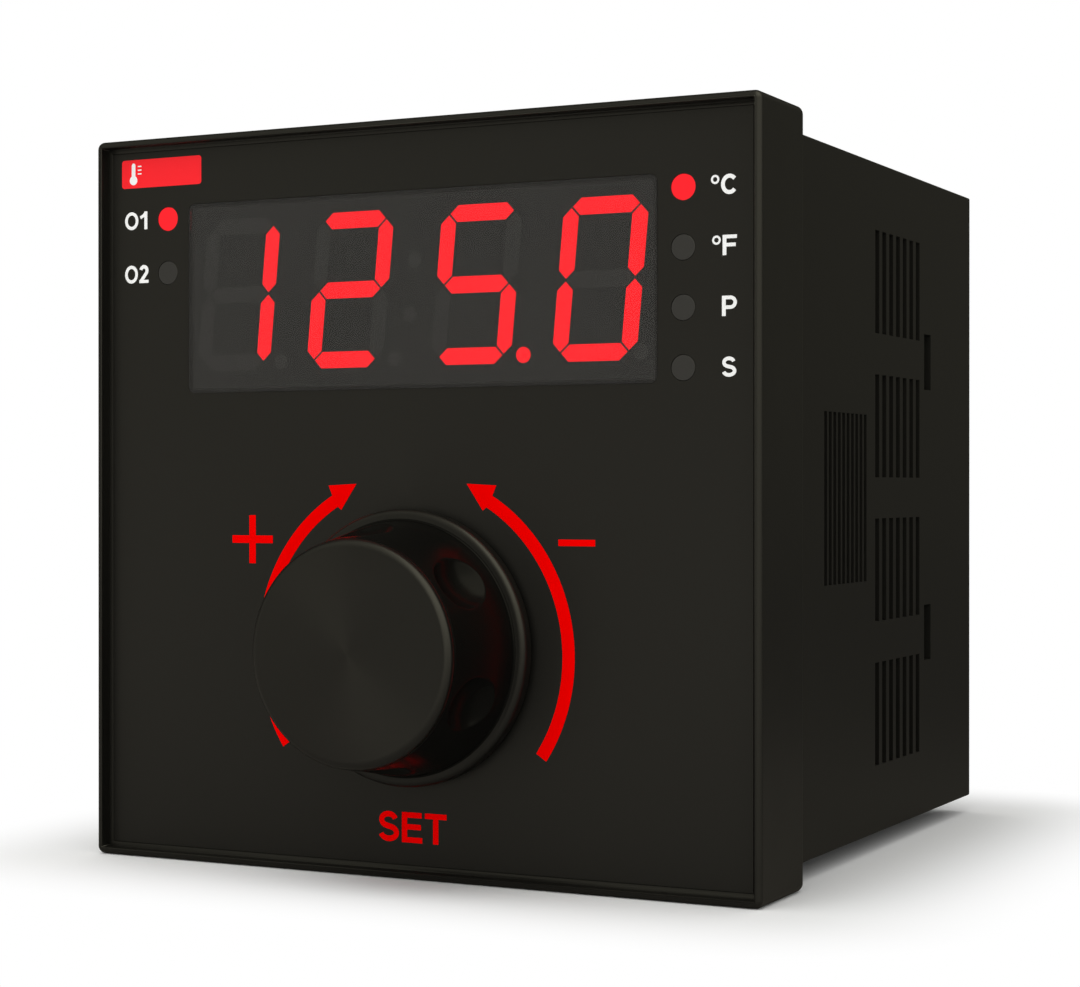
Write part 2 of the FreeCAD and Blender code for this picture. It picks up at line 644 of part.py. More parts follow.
# ---------------------------------------------------------------- display board
def display_board():
    body = new_body("display_board")
    sheet_sketch = front_sketch(body, "sheet", "board_front")
    pad(body, rectangle(sheet_sketch, "front_board_side", "front_board_side"), "board_thick")
    hole = front_sketch(body, "hole", "board_front", "-boss_side", "boss_low")
    first = pocket(body, circle(hole, "pilot_wide + 2 * fit_gap"), "board_thick")
    holes = row(body, first, "X_Axis", "2 * boss_side", "2", "holes")
    holes.Direction2 = (origin_part(body, "Z_Axis"), [""])
    bind(holes, {"Length2": "boss_top - boss_low", "Occurrences2": "2"})
    return keep(body, "display_board")


def board_screws():
    screws = []
    for x_sign in (-1, 1):
        for up in ("boss_low", "boss_top"):
            place = ("%d * boss_side" % x_sign, up)
            name = "board_screw_%d" % len(screws)
            shank = rod(name + "_shank", (place[0], "board_back - screw_long", place[1]),
                        "pilot_wide", "screw_long")
            head = rod(name + "_head", (place[0], "board_back", place[1]),
                       "screw_head_wide", "screw_head_thick")
            screws.append(joined(name, [shank, head]))
    return keep(group("board_screws", screws), "board_screws")


# ---------------------------------------------------------------- case
def case_shell():
    """The square sleeve with its corner posts and the guides for the long boards."""
    body = new_body("case_shell")
    outer = front_sketch(body, "outer", "plate_back")
    pad(body, rectangle(outer, "case_side", "case_side"), "case_reach - (plate_back)")
    fillet(body, "case_round", lambda edge: along(edge, "y"))
    inner = front_sketch(body, "inner", "plate_back")
    pocket(body, rectangle(inner, "case_inside", "case_inside"), "case_reach - (plate_back)")
    for x_sign in (-1, 1):
        for z_sign in (-1, 1):
            place = ["%d * (case_inside - post_side) / 2" % sign for sign in (x_sign, z_sign)]
            name = "post_%d_%d" % (x_sign + 1, z_sign + 1)
            post = front_sketch(body, name, "cover_front - post_long", *place)
            pad(body, rectangle(post, "post_side", "post_side"), "post_long")
            pilot = front_sketch(body, "pilot_" + name, "cover_front - cover_bite", *place)
            pocket(body, circle(pilot, "cover_screw_wide"), "cover_bite")
    for x_sign in (-1, 1):
        for side, shift in (("inner", "-guide_wide / 2 - fit_gap"),
                            ("outer", "board_thick + guide_wide / 2 + fit_gap")):
            for z_sign in (-1, 1):
                across = "%d * (long_board_place + %s)" % (x_sign, shift)
                up = "%d * (case_inside - guide_tall) / 2" % z_sign
                name = "guide_%s_%d_%d" % (side, x_sign + 1, z_sign + 1)
                rib = front_sketch(body, name, "long_board_front", across, up)
                pad(body, rectangle(rib, "guide_wide", "guide_tall"),
                    "block_front - guide_gap - long_board_front")
    return body


def wall_cut(name, depth, up, wide, tall, sink):
    """A box that sinks into both side walls from outside, centred at a depth and a height."""
    boxes = []
    for x_sign in (-1, 1):
        across = "%d * (case_side / 2 + 1 - (%s + 1) / 2)" % (x_sign, sink)
        boxes.append(block("%s_%d" % (name, x_sign + 1),
                           (across, "%s - (%s) / 2" % (depth, wide), up),
                           ("%s + 1" % sink, wide, tall)))
    return boxes


def case_sleeve():
    tools = []
    for i in range(int(number("vent_count"))):
        depth = "vent_first + vent_pitch * %d" % i
        for k in range(int(number("vent_groups"))):
            up = "vent_rise * (%d - (vent_groups - 1) / 2)" % k
            tools += wall_cut("vent_%d_%d" % (i, k), depth, up, "vent_wide", "vent_long",
                              "2 * case_wall")
    for i in range(int(number("tooth_count"))):
        tools += wall_cut("tooth_%d" % i, "tooth_first + tooth_pitch * %d" % i, "0",
                          "tooth_wide", "tooth_long", "tooth_deep")
    for sign in (-1, 1):
        tools += wall_cut("clamp_slot_%d" % (sign + 1), "clamp_slot_place",
                          "%d * clamp_slot_rise" % sign, "clamp_slot_wide", "clamp_slot_long",
                          "2 * case_wall")
    return keep(cut("case_sleeve", case_shell(), group("case_cuts", tools)), "case_sleeve")


# ---------------------------------------------------------------- rear
def rear_cover():
    body = new_body("rear_cover")
    side = "case_inside - 2 * fit_gap"
    pad(body, rectangle(front_sketch(body, "plate", "cover_front"), side, side), "cover_thick")
    for x_sign in (-1, 1):
        name = "slot_%d" % (x_sign + 1)
        slot = front_sketch(body, name, "cover_front", "%d * block_place" % x_sign)
        rectangle(slot, "block_wide + 2 * fit_gap", "block_tall + 2 * fit_gap")
        pocket(body, slot, "cover_thick")
    place = "(case_inside - post_side) / 2"
    hole = front_sketch(body, "hole", "cover_front", "-" + place, "-" + place)
    first = pocket(body, circle(hole, "cover_screw_wide + 2 * fit_gap"), "cover_thick")
    sink = front_sketch(body, "sink", "cover_back", "-" + place, "-" + place)
    circle(sink, "cover_head_wide + 2 * fit_gap")
    second = pocket(body, sink, "cover_thick / 2", True)
    holes = row(body, [first, second], "X_Axis", "2 * " + place, "2", "holes")
    holes.Direction2 = (origin_part(body, "Z_Axis"), [""])
    bind(holes, {"Length2": "2 * " + place, "Occurrences2": "2"})
    return keep(body, "rear_cover")


def cover_screws():
    screws = []
    place = "(case_inside - post_side) / 2"
    for x_sign in (-1, 1):
        for z_sign in (-1, 1):
            spot = ("%d * %s" % (x_sign, place), "%d * %s" % (z_sign, place))
            name = "cover_screw_%d" % len(screws)
            shank = rod(name + "_shank", (spot[0], "cover_front - cover_bite", spot[1]),
                        "cover_screw_wide", "cover_bite + cover_thick / 2")
            head = rod(name + "_head", (spot[0], "cover_back - cover_thick / 2", spot[1]),
                       "cover_head_wide", "cover_thick / 2")
            slot = block(name + "_slot", (spot[0], "cover_back - driver_slot", spot[1]),
                         ("cover_head_wide * 2", "driver_slot * 2", "driver_slot"))
            screws.append(cut(name, joined(name + "_solid", [shank, head]), slot))
    return keep(group("cover_screws", screws), "cover_screws")


def terminal_block(label, x_sign):
    """A row of cells: each has a screw hole, a wire entry and a clamp chamber."""
    body = new_body(label)
    middle = "%d * block_place" % x_sign
    outer = front_sketch(body, "outer", "block_front", middle)
    pad(body, rectangle(outer, "block_wide", "block_tall"), "block_deep")
    cells = []
    screw = front_sketch(body, "screw", "case_reach",
                         "%d * (block_place + screw_hole_side)" % x_sign, "cell_first")
    cells.append(pocket(body, circle(screw, "screw_hole_wide"), "cell_deep", True))
    entry = front_sketch(body, "entry", "case_reach",
                         "%d * (block_place - entry_side)" % x_sign, "cell_first")
    cells.append(pocket(body, rectangle(entry, "entry_wide", "entry_tall"), "cell_deep", True))
    chamber = front_sketch(body, "chamber", "block_front", middle, "cell_first")
    rectangle(chamber, "clamp_long + 2 * fit_gap", "clamp_tall + 2 * fit_gap")
    cells.append(pocket(body, chamber, "clamp_front - (block_front)"))
    row(body, cells, "Z_Axis", "cell_pitch * (cell_count - 1)", "cell_count", "cells")
    return keep(body, label)


def terminal_metal():
    """A clamp bar and a screw for each cell."""
    bars, screws = [], []
    for x_sign in (-1, 1):
        for i in range(int(number("cell_count"))):
            up = "cell_first + cell_pitch * %d" % i
            name = "cell_%d_%d" % (x_sign + 1, i)
            bars.append(block(name + "_bar",
                              ("%d * block_place" % x_sign, "clamp_front - clamp_thick", up),
                              ("clamp_long", "clamp_thick", "clamp_tall")))
            across = "%d * (block_place + screw_hole_side)" % x_sign
            shank = rod(name + "_shank", (across, "clamp_front", up), "clamp_shank_wide",
                        "cell_deep - 2 * clamp_screw_head")
            head = rod(name + "_head", (across, "case_reach - 2 * clamp_screw_head", up),
                       "clamp_screw_wide", "clamp_screw_head")
            slot = block(name + "_slot",
                         (across, "case_reach - clamp_screw_head - driver_slot", up),
                         ("clamp_screw_wide * 2", "driver_slot * 2", "driver_slot"))
            screws.append(cut(name + "_screw", joined(name + "_solid", [shank, head]), slot))
    keep(group("terminal_clamps", bars), "terminal_clamps")
    keep(group("terminal_screws", screws), "terminal_screws")


# ---------------------------------------------------------------- long boards
def long_board(label, x_sign):
    board = block(label, ("%d * (long_board_place + board_thick / 2)" % x_sign,
                          "long_board_front", "0"),
                  ("board_thick", "long_board_back - long_board_front", "board_reach"))
    return keep(board, label)


def board_header(label, x_sign):
    header = block(label, ("%d * (long_board_place - header_thick / 2)" % x_sign,
                           "board_back", "0"),
                   ("header_thick", "header_deep", "header_long"))
    return keep(header, label)


def transformer():
    """A laminated core round a coil, which stands out of the core's stack on both sides."""
    middle = "-long_board_place + coil_wide / 2"
    start = "core_start"
    core = block("core_solid", (middle, start, "transformer_up"),
                 ("coil_wide - 2 * coil_lap", "core_deep", "core_tall"))
    window_tall = "(core_tall - 2 * core_leg) / 2"
    gap = "(%s)" % window_tall
    windows = []
    for sign in (-1, 1):
        up = "transformer_up + %d * (core_leg + %s) / 2" % (sign, gap)
        windows.append(block("core_window_%d" % (sign + 1),
                             (middle, start + " + core_leg / 2", up),
                             ("coil_wide", "core_deep - core_leg", gap)))
    keep(cut("transformer_core", core, group("core_windows", windows)), "transformer_core")
    coil = block("coil_solid", (middle, start + " + core_leg / 2 + fit_gap", "transformer_up"),
                 ("coil_wide", "core_deep - core_leg - 2 * fit_gap",
                  "core_leg + 2 * %s - 2 * fit_gap" % gap))
    leg = block("coil_leg", (middle, start, "transformer_up"),
                ("coil_wide - 2 * coil_lap + 2 * fit_gap", "core_deep", "core_leg + 2 * fit_gap"))
    return keep(cut("transformer_coil", coil, leg), "transformer_coil")


def relays():
    for i in range(int(number("relay_count"))):
        label = "relay_%d" % (i + 1)
        up = "relay_up + relay_rise * %d" % i
        keep(block(label, ("-long_board_place + relay_wide / 2", "relay_start", up),
                   ("relay_wide", "relay_deep", "relay_tall")), label)


def capacitors():
    cans = []
    for i in range(int(number("can_count"))):
        up = "can_up + can_rise * %d" % i
        cans.append(rod("can_%d" % i, ("-long_board_place", "can_back", up), "can_wide",
                        "can_tall", Vector(1, 0, 0)))
    return keep(group("capacitors", cans), "capacitors")


def chips():
    for label, side, up in (("microcontroller", "chip_side", "chip_up"),
                            ("input_converter", "converter_side", "converter_up")):
        keep(block(label, ("long_board_place - chip_thick / 2", "chip_back - (%s) / 2" % side,
                           up), ("chip_thick", side, side)), label)


# ---------------------------------------------------------------- assembly
front_bezel()
front_film()
display_window()
display()
for lamp_label, lamp_side, lamp_row in (
        ("led_output_1", "-lamp_side", 0), ("led_output_2", "-lamp_side", 1),
        ("led_celsius", "lamp_side", 0), ("led_fahrenheit", "lamp_side", 1),
        ("led_program", "lamp_side", 2), ("led_set", "lamp_side", 3)):
    indicator_lamp(lamp_label, lamp_side, lamp_row)
lamp_chips()
control_knob()
encoder_shaft()
encoder_rotor()
encoder_bushing()
encoder_base()
switch_parts()
encoder_fixings()
display_board()
board_screws()
case_sleeve()
rear_cover()
cover_screws()
terminal_block("terminal_block_left", -1)
terminal_block("terminal_block_right", 1)
terminal_metal()
long_board("power_board", -1)
long_board("processor_board", 1)
board_header("header_left", -1)
board_header("header_right", 1)
transformer()
relays()
capacitors()
chips()
doc.recompute()

# ---------------------------------------------------------------- checks and files
for item in doc.Objects:
    if "Invalid" in item.State or "Error" in item.State:
        raise RuntimeError("%s failed: %s" % (item.Label, item.State))
for item in doc.Objects:
    if item.TypeId == "PartDesign::Pocket" and not item.Shape.Volume < item.BaseFeature.Shape.Volume:
        raise RuntimeError(item.Label + " cuts nothing")
os.makedirs("parts", exist_ok=True)
for item in NODES:
    shape = item.Shape
    if shape.isNull() or not shape.isValid() or not shape.Solids:
        raise RuntimeError(item.Label + " has no valid solid")
for item in NODES:
    shape = item.Shape
    shape.exportStep("parts/%s.step" % item.Label)
    box = shape.BoundBox
    print("%-22s %2d solids %9.1f mm3  x %6.1f %6.1f  y %6.1f %6.1f  z %6.1f %6.1f" % (
        item.Label, len(shape.Solids), shape.Volume, box.XMin, box.XMax, box.YMin, box.YMax,
        box.ZMin, box.ZMax))
print(len(NODES), "nodes")
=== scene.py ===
# %% [markdown]
# # A panel temperature controller
# The real object is a square instrument that slides into a cut-out in a machine's
# panel: a black bezel with a printed film, a smoked display window, a push-and-turn
# knob and a long ventilated case behind. The CAD model already gives every solid its
# true size and place. This lesson dresses those solids: it rounds their edges, prints
# the film, lights the display and gives each piece the finish of its real material.
# The imported model is loaded first, and its box is kept to place the floor by.

# %% Load the imported model
import math
import bmesh
import bpy
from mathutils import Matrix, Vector


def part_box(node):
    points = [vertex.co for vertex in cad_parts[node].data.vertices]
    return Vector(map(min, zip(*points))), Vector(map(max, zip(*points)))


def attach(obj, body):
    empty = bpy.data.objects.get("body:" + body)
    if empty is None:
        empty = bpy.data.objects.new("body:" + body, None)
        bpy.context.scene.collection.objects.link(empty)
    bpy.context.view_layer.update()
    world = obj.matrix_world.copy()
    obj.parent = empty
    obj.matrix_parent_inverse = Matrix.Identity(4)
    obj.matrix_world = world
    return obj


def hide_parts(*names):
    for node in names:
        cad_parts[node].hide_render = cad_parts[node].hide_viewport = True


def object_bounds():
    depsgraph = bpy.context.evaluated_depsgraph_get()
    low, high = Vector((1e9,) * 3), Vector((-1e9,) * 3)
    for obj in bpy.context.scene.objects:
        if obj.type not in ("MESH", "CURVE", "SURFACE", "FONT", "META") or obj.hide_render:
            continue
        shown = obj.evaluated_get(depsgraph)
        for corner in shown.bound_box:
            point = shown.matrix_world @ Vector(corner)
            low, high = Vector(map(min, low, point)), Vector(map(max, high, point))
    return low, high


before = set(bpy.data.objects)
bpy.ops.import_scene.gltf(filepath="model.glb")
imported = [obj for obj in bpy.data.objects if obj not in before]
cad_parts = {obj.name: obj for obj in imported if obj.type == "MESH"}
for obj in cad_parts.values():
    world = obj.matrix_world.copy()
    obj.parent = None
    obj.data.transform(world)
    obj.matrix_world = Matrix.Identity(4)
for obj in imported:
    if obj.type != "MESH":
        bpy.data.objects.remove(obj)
cad_low, cad_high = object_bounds()
MM = 0.001
print("CAD box in mm:", [round(v / MM, 2) for v in (*cad_low, *cad_high)])

# %% [markdown]
# ## The camera
# The camera stands level with the middle of the front, to the right of it, so that
# the front and one side of the case show. A camera needs three things: a place, a
# direction and a lens. Its rotation is given about X first, where 90 degrees looks
# along the ground, and then about Z, which turns it round the object.

# %% Camera
SENSOR_WIDTH, LENS = 36, 78.197
CAMERA_PLACE = (0.14793, -0.27124, 0.00138)
CAMERA_TILT, CAMERA_TURN = 89.858, 26.686
camera_data = bpy.data.cameras.new("camera")
camera_data.sensor_fit = "HORIZONTAL"
camera_data.sensor_width = SENSOR_WIDTH
camera_data.lens = LENS
camera = bpy.data.objects.new("camera", camera_data)
camera.location = CAMERA_PLACE
camera.rotation_euler = (math.radians(CAMERA_TILT), 0, math.radians(CAMERA_TURN))
bpy.context.scene.collection.objects.link(camera)
bpy.context.scene.camera = camera
bpy.context.scene.view_settings.view_transform = "Standard"
print("camera distance in mm:", round(camera.location.length / MM))

# %% [markdown]
# ## Two small tools for materials
# A material is a graph of nodes. One function adds any node, sets its options and
# then sets or links its inputs, so that each finish below reads as a list of what it
# is made of. Colours are written as the hex codes that designers use. Blender works
# in linear light, so one function turns a code into linear values.

# %% Tools for materials
def linear(code):
    """Turn an sRGB hex code into linear red, green, blue and alpha."""
    parts = [int(code[i:i + 2], 16) / 255 for i in (1, 3, 5)]
    return [p / 12.92 if p < 0.04045 else ((p + 0.055) / 1.055) ** 2.4 for p in parts] + [1]


def add(tree, kind, inputs=None, **settings):
    """Add a node, apply its settings, then set or link its inputs."""
    node = tree.nodes.new(kind)
    for name, value in settings.items():
        setattr(node, name, value)
    for key, value in (inputs or {}).items():
        if isinstance(value, bpy.types.NodeSocket):
            tree.links.new(value, node.inputs[key])
        else:
            node.inputs[key].default_value = value
    return node


def new_material(name):
    """A material with one Principled shader, and the object's own coordinates."""
    material = bpy.data.materials.new(name)
    material.use_nodes = True
    tree = material.node_tree
    shader = tree.nodes["Principled BSDF"]
    place = add(tree, "ShaderNodeTexCoord").outputs["Object"]
    return material, tree, shader, place


print("black ABS in linear light:", [round(v, 4) for v in linear("#12110f")])

# %% [markdown]
# ## Moulded and cast finishes
# Most pieces are moulded plastic or plated metal. Such a surface has three scales.
# A fine grain, cut into the mould by spark erosion or left by plating, breaks up the
# shine. A slow drift over a few centimetres, from flow and handling, changes the
# colour and the gloss a little. Everything else is one even colour. The function
# takes both colours, the size of the grain and its height in millimetres, and the
# range of the roughness. A height of 0 leaves the bump out. Uniform numbers, such as
# the specular level, are set on the shader itself.

# %% One recipe for grained finishes
def grained(name, dark, light, grain, height, rough, drift=12, **sockets):
    """A finish with a fine grain for bump and a slow drift of colour and gloss."""
    material, tree, shader, place = new_material(name)
    slow = add(tree, "ShaderNodeTexNoise", {"Vector": place, "Scale": 1 / (drift * MM),
                                            "Detail": 3.0}).outputs["Fac"]
    fine = add(tree, "ShaderNodeTexNoise", {"Vector": place, "Scale": 1 / (grain * MM),
                                            "Detail": 1.0}).outputs["Fac"]
    colour = add(tree, "ShaderNodeMix", {"Factor": slow, 6: linear(dark), 7: linear(light)},
                 data_type="RGBA")
    gloss = add(tree, "ShaderNodeMapRange", {"Value": slow, "From Min": 0.3, "From Max": 0.7,
                                             "To Min": rough[0], "To Max": rough[1]})
    if height:
        bump = add(tree, "ShaderNodeBump", {"Height": fine, "Strength": 1.0,
                                            "Distance": height * MM})
        tree.links.new(bump.outputs["Normal"], shader.inputs["Normal"])
    tree.links.new(colour.outputs[2], shader.inputs["Base Color"])
    tree.links.new(gloss.outputs["Result"], shader.inputs["Roughness"])
    for key, value in sockets.items():
        shader.inputs[key.replace("_", " ")].default_value = value
    return material


finishes = {
    # Black ABS from a spark-eroded mould: almost no colour of its own, satin shine.
    "bezel": grained("moulded ABS bezel", "#0f0e0c", "#12110e", 0.25, 0.003, (0.34, 0.4)),
    # The sleeve and cover are the same ABS from a coarser mould, so they look drier.
    "case": grained("moulded ABS case", "#0f0e0c", "#11100e", 0.3, 0.004, (0.42, 0.46), 60),
    "rear": grained("moulded ABS cover", "#121110", "#151412", 0.35, 0.006, (0.44, 0.5), 40),
    # Nylon, glass-filled for the terminals: grey-black or milky, and a little rougher.
    "terminal": grained("glass-filled nylon", "#161716", "#1d1e1d", 0.2, 0.006, (0.45, 0.6)),
    "nylon_black": grained("moulded black nylon", "#141413", "#191918", 0.2, 0.004, (0.4, 0.5)),
    "nylon_white": grained("moulded white nylon", "#d9d6cc", "#e6e3da", 0.3, 0.004,
                           (0.38, 0.48), Subsurface_Weight=0.1),
    # Plated, cast and turned metals keep the shader's default index of refraction.
    # Plating shines most, and a casting is the dullest.
    "zinc": grained("zinc-plated steel", "#b9bab6", "#d0d1cf", 0.12, 0.001, (0.24, 0.36),
                    4, Metallic=1.0),
    "nickel": grained("nickel plate", "#b5ada0", "#c9c2b6", 0.15, 0.001, (0.2, 0.3),
                      4, Metallic=1.0),
    "casting": grained("zinc die casting", "#8d8e8f", "#a3a4a5", 0.3, 0.01, (0.4, 0.55),
                       4, Metallic=1.0),
    "steel": grained("turned steel", "#9b9a98", "#b4b3b1", 0.08, 0.001, (0.25, 0.35),
                     3, Metallic=1.0),
    "brass": grained("stamped brass", "#b8923f", "#cfaa58", 0.2, 0.002, (0.28, 0.4),
                     3, Metallic=1.0),
    "bronze": grained("spring bronze", "#a5703c", "#bc864e", 0.2, 0.001, (0.25, 0.35),
                      3, Metallic=1.0),
    # The display is cast in grey epoxy, so that unlit bars nearly vanish.
    "module": grained("grey display epoxy", "#343331", "#363533", 0.3, 0, (0.5, 0.6), 40),
    "unlit": grained("unlit diffuser epoxy", "#53524f", "#555451", 0.3, 0, (0.5, 0.6), 40),
    # Parts on the boards: dull epoxy chips, a satin relay case, shiny shrunk sleeves.
    "chip": grained("moulded chip epoxy", "#1c1d1f", "#232427", 0.15, 0.004, (0.5, 0.65)),
    "relay": grained("moulded relay case", "#1b4f86", "#235d98", 0.3, 0.003, (0.3, 0.4)),
    "capacitor": grained("shrunk PVC sleeve", "#1d2536", "#262f43", 0.5, 0.003, (0.28, 0.36)),
    "tape": grained("polyester coil tape", "#c8a32a", "#d8b440", 1.2, 0.02, (0.25, 0.4)),
    # Screen-printed inks dry matt, so they show their colour and hardly a shine.
    "label_red": grained("printed red label", "#fc222a", "#ff2830", 0.4, 0.001, (0.4, 0.5),
                         Specular_IOR_Level=0.1),
    "white_ink": grained("screen-printed white ink", "#f2f2f0", "#f8f8f6", 0.2, 0.002,
                         (0.5, 0.6), Specular_IOR_Level=0.1),
    "red_ink": grained("screen-printed red ink", "#f20000", "#f80000", 0.2, 0.002,
                       (0.5, 0.6), Specular_IOR_Level=0.0),
}
print(len(finishes), "grained finishes")

# %% [markdown]
# ## The film, the window and the lights behind them
# The front film is polycarbonate, printed black on its back. Its face is satin with
# a faint circular sheen about its middle, so its highlights stretch. That is
# anisotropy: the shader needs a direction on the surface, and here it runs round the
# centre, from the cross product of the surface's normal and the radius. The display
# window is smoked: light passes its front and its back, and each takes some away. The
# lit bars and lamps give off their own light. The bars' is stronger than white can
# show, because the window in front of them dims it.

# %% Film and knob face: a circular sheen
def circular_sheen(material, centre, amount):
    """Stretch a material's highlights round a centre on the front."""
    tree = material.node_tree
    shader = tree.nodes["Principled BSDF"]
    place = add(tree, "ShaderNodeTexCoord").outputs["Object"]
    arm = add(tree, "ShaderNodeVectorMath", {0: place, 1: centre}, operation="SUBTRACT")
    normal = add(tree, "ShaderNodeNewGeometry").outputs["Normal"]
    around = add(tree, "ShaderNodeVectorMath", {0: arm.outputs[0], 1: normal},
                 operation="CROSS_PRODUCT")
    unit = add(tree, "ShaderNodeVectorMath", {0: around.outputs[0]}, operation="NORMALIZE")
    tree.links.new(unit.outputs[0], shader.inputs["Tangent"])
    shader.inputs["Anisotropic"].default_value = amount


finishes["film"] = grained("printed polycarbonate film", "#11100e", "#131210", 0.15, 0.001,
                           (0.4, 0.44), 40)
FILM_SHEEN = 0.25
circular_sheen(finishes["film"], (0, 0, 0), FILM_SHEEN)
print("film sheen:", FILM_SHEEN)

# %% Window, lit bars and lamps
LENS_RED = (0.05, 0.0, 0.0, 1)


def lit(name, code, strength):
    """A translucent lens with its lamp on: nearly black itself, with an even glow."""
    material = grained(name, code, code, 0.4, 0.001, (0.4, 0.5))
    shader = material.node_tree.nodes["Principled BSDF"]
    shader.inputs["Emission Color"].default_value = linear(code)
    shader.inputs["Emission Strength"].default_value = strength
    shader.inputs["Specular IOR Level"].default_value = 0.0
    shader.inputs["Base Color"].default_value = LENS_RED
    for link in list(shader.inputs["Base Color"].links):
        material.node_tree.links.remove(link)
    return material


finishes["segment_lit"] = lit("lit red segment", "#ff0018", 3.3)
finishes["lamp_lit"] = lit("lit red lamp lens", "#ff2a32", 1.0)
finishes["lamp_off"] = grained("unlit lamp lens", "#2b2a28", "#2e2d2b", 0.3, 0.001,
                               (0.35, 0.45))
SMOKE = 0.45
finishes["window"] = grained("smoked polycarbonate", "#393836", "#3a3937", 0.5, 0,
                             (0.3, 0.34), 60, Alpha=SMOKE)
print("each face of the window lets through", round(1 - SMOKE, 2))

# %% [markdown]
# ## The knob's two finishes
# The knob is moulded in glossy black ABS. Its side mirrors the dark film behind it,
# which is why it looks blacker than its face. The face is turned, so it has the same
# circular sheen as the film, only stronger, and fine uneven rings. Real rings are
# finer than a tenth of a millimetre, so these are drawn coarser to show.

# %% Knob finishes
knob_place = sum(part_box("control_knob"), Vector()) / 2
finishes["knob_side"] = grained("polished black ABS", "#0d0d0b", "#0f0e0c", 0.6, 0.0005,
                                (0.22, 0.26), Specular_IOR_Level=0.08)
finishes["knob_face"] = grained("spun black ABS", "#0f0e0c", "#11100e", 0.2, 0,
                                (0.32, 0.36), 30)
KNOB_SHEEN, RING_PITCH, RING_HEIGHT = 0.9, 0.5, 0.006
circular_sheen(finishes["knob_face"], knob_place, KNOB_SHEEN)


def turning_marks(material, centre, pitch, height):
    """Fine uneven rings round a centre: noise along the radius, used as a bump."""
    tree = material.node_tree
    place = add(tree, "ShaderNodeTexCoord").outputs["Object"]
    arm = add(tree, "ShaderNodeVectorMath", {0: place, 1: centre}, operation="SUBTRACT")
    flat = add(tree, "ShaderNodeVectorMath", {0: arm.outputs[0], 1: (1, 0, 1)},
               operation="MULTIPLY")
    radius = add(tree, "ShaderNodeVectorMath", {0: flat.outputs[0]}, operation="LENGTH")
    rings = add(tree, "ShaderNodeTexNoise", {"W": radius.outputs["Value"],
                                             "Scale": 1 / (pitch * MM), "Detail": 2.0},
                noise_dimensions="1D")
    bump = add(tree, "ShaderNodeBump", {"Height": rings.outputs["Fac"],
                                        "Distance": height * MM})
    tree.links.new(bump.outputs["Normal"],
                   tree.nodes["Principled BSDF"].inputs["Normal"])


turning_marks(finishes["knob_face"], knob_place, RING_PITCH, RING_HEIGHT)
print("knob axis height in mm:", round(knob_place.z / MM, 2))

# %% [markdown]
# ## Circuit boards and the transformer's core
# A board is glass epoxy under a green solder mask. The copper tracks show through
# the mask as paler lines about 0.4 mm wide. A brick pattern with long bricks gives
# such runs cheaply: its mortar is the track. The core of the transformer is a stack
# of 0.5 mm steel plates, which a wave pattern draws as fine bands.

# %% Board and core finishes
TRACK_HALF, TRACK_LONG, TRACK_PITCH, TRACK_HEIGHT = 0.2, 9.0, 2.2, 0.00003
PLATE_THICK, PLATE_STEP = 0.5, 0.00005
board, tree, shader, place = new_material("solder mask on glass epoxy")
turned_place = add(tree, "ShaderNodeMapping",
                   {"Vector": place, "Rotation": (0, math.radians(90), math.radians(90))})
tracks = add(tree, "ShaderNodeTexBrick",
             {"Vector": turned_place.outputs["Vector"],
              "Color1": linear("#0f4a2a"), "Color2": linear("#125230"),
              "Mortar": linear("#2c7a48"), "Scale": 1 / MM, "Mortar Size": TRACK_HALF,
              "Brick Width": TRACK_LONG, "Row Height": TRACK_PITCH})
board_bump = add(tree, "ShaderNodeBump", {"Height": tracks.outputs["Fac"],
                                          "Distance": TRACK_HEIGHT})
tree.links.new(tracks.outputs["Color"], shader.inputs["Base Color"])
tree.links.new(board_bump.outputs["Normal"], shader.inputs["Normal"])
shader.inputs["Roughness"].default_value = 0.35
finishes["board"] = board

core, tree, shader, place = new_material("laminated core steel")
# a wave texture of scale 1 has a band each tau / 20 metres
plates = add(tree, "ShaderNodeTexWave",
             {"Vector": place, "Scale": math.tau / 20 / (PLATE_THICK * MM),
              "Distortion": 0.3}, bands_direction="X")
tone = add(tree, "ShaderNodeMix", {"Factor": plates.outputs["Fac"], 6: linear("#3b3b3c"),
                                   7: linear("#8b8a88")}, data_type="RGBA")
plate_bump = add(tree, "ShaderNodeBump", {"Height": plates.outputs["Fac"],
                                          "Distance": PLATE_STEP})
tree.links.new(tone.outputs[2], shader.inputs["Base Color"])
tree.links.new(plate_bump.outputs["Normal"], shader.inputs["Normal"])
shader.inputs["Metallic"].default_value = 0.8
shader.inputs["Roughness"].default_value = 0.45
finishes["core"] = core
print(len(finishes), "finishes in all")

# %% [markdown]
# ## Dressing a CAD solid
# A CAD solid has perfectly sharp edges, and no moulded piece has. So each visible
# solid is copied, its loose triangles are merged and its flat areas joined. Each
# sharp edge gets a bevel weight, a Bevel modifier breaks the weighted ones by a tenth
# or two of a millimetre, and Weighted Normal keeps the flat areas flat. The foot of
# the bezel's recess is an inner corner, so it stays sharp. Solids that are full of
# slots, or lie behind the window, keep their edges: their triangles stay, and the
# faces that look along an axis are shaded flat. The copy stands for the CAD solid,
# which stays in place, hidden, for the simulation.

# %% Tools for pieces
def piece(name, mesh, finish, body, nodes=()):
    """Make an object of a mesh, attach it to what it rides on, and hide the CAD nodes it stands
    for.
    """
    made = bpy.data.objects.new(name, mesh)
    bpy.context.scene.collection.objects.link(made)
    if finish:
        made.data.materials.clear()
        made.data.materials.append(finishes[finish])
    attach(made, body)
    if nodes:
        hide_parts(*nodes)
    return made


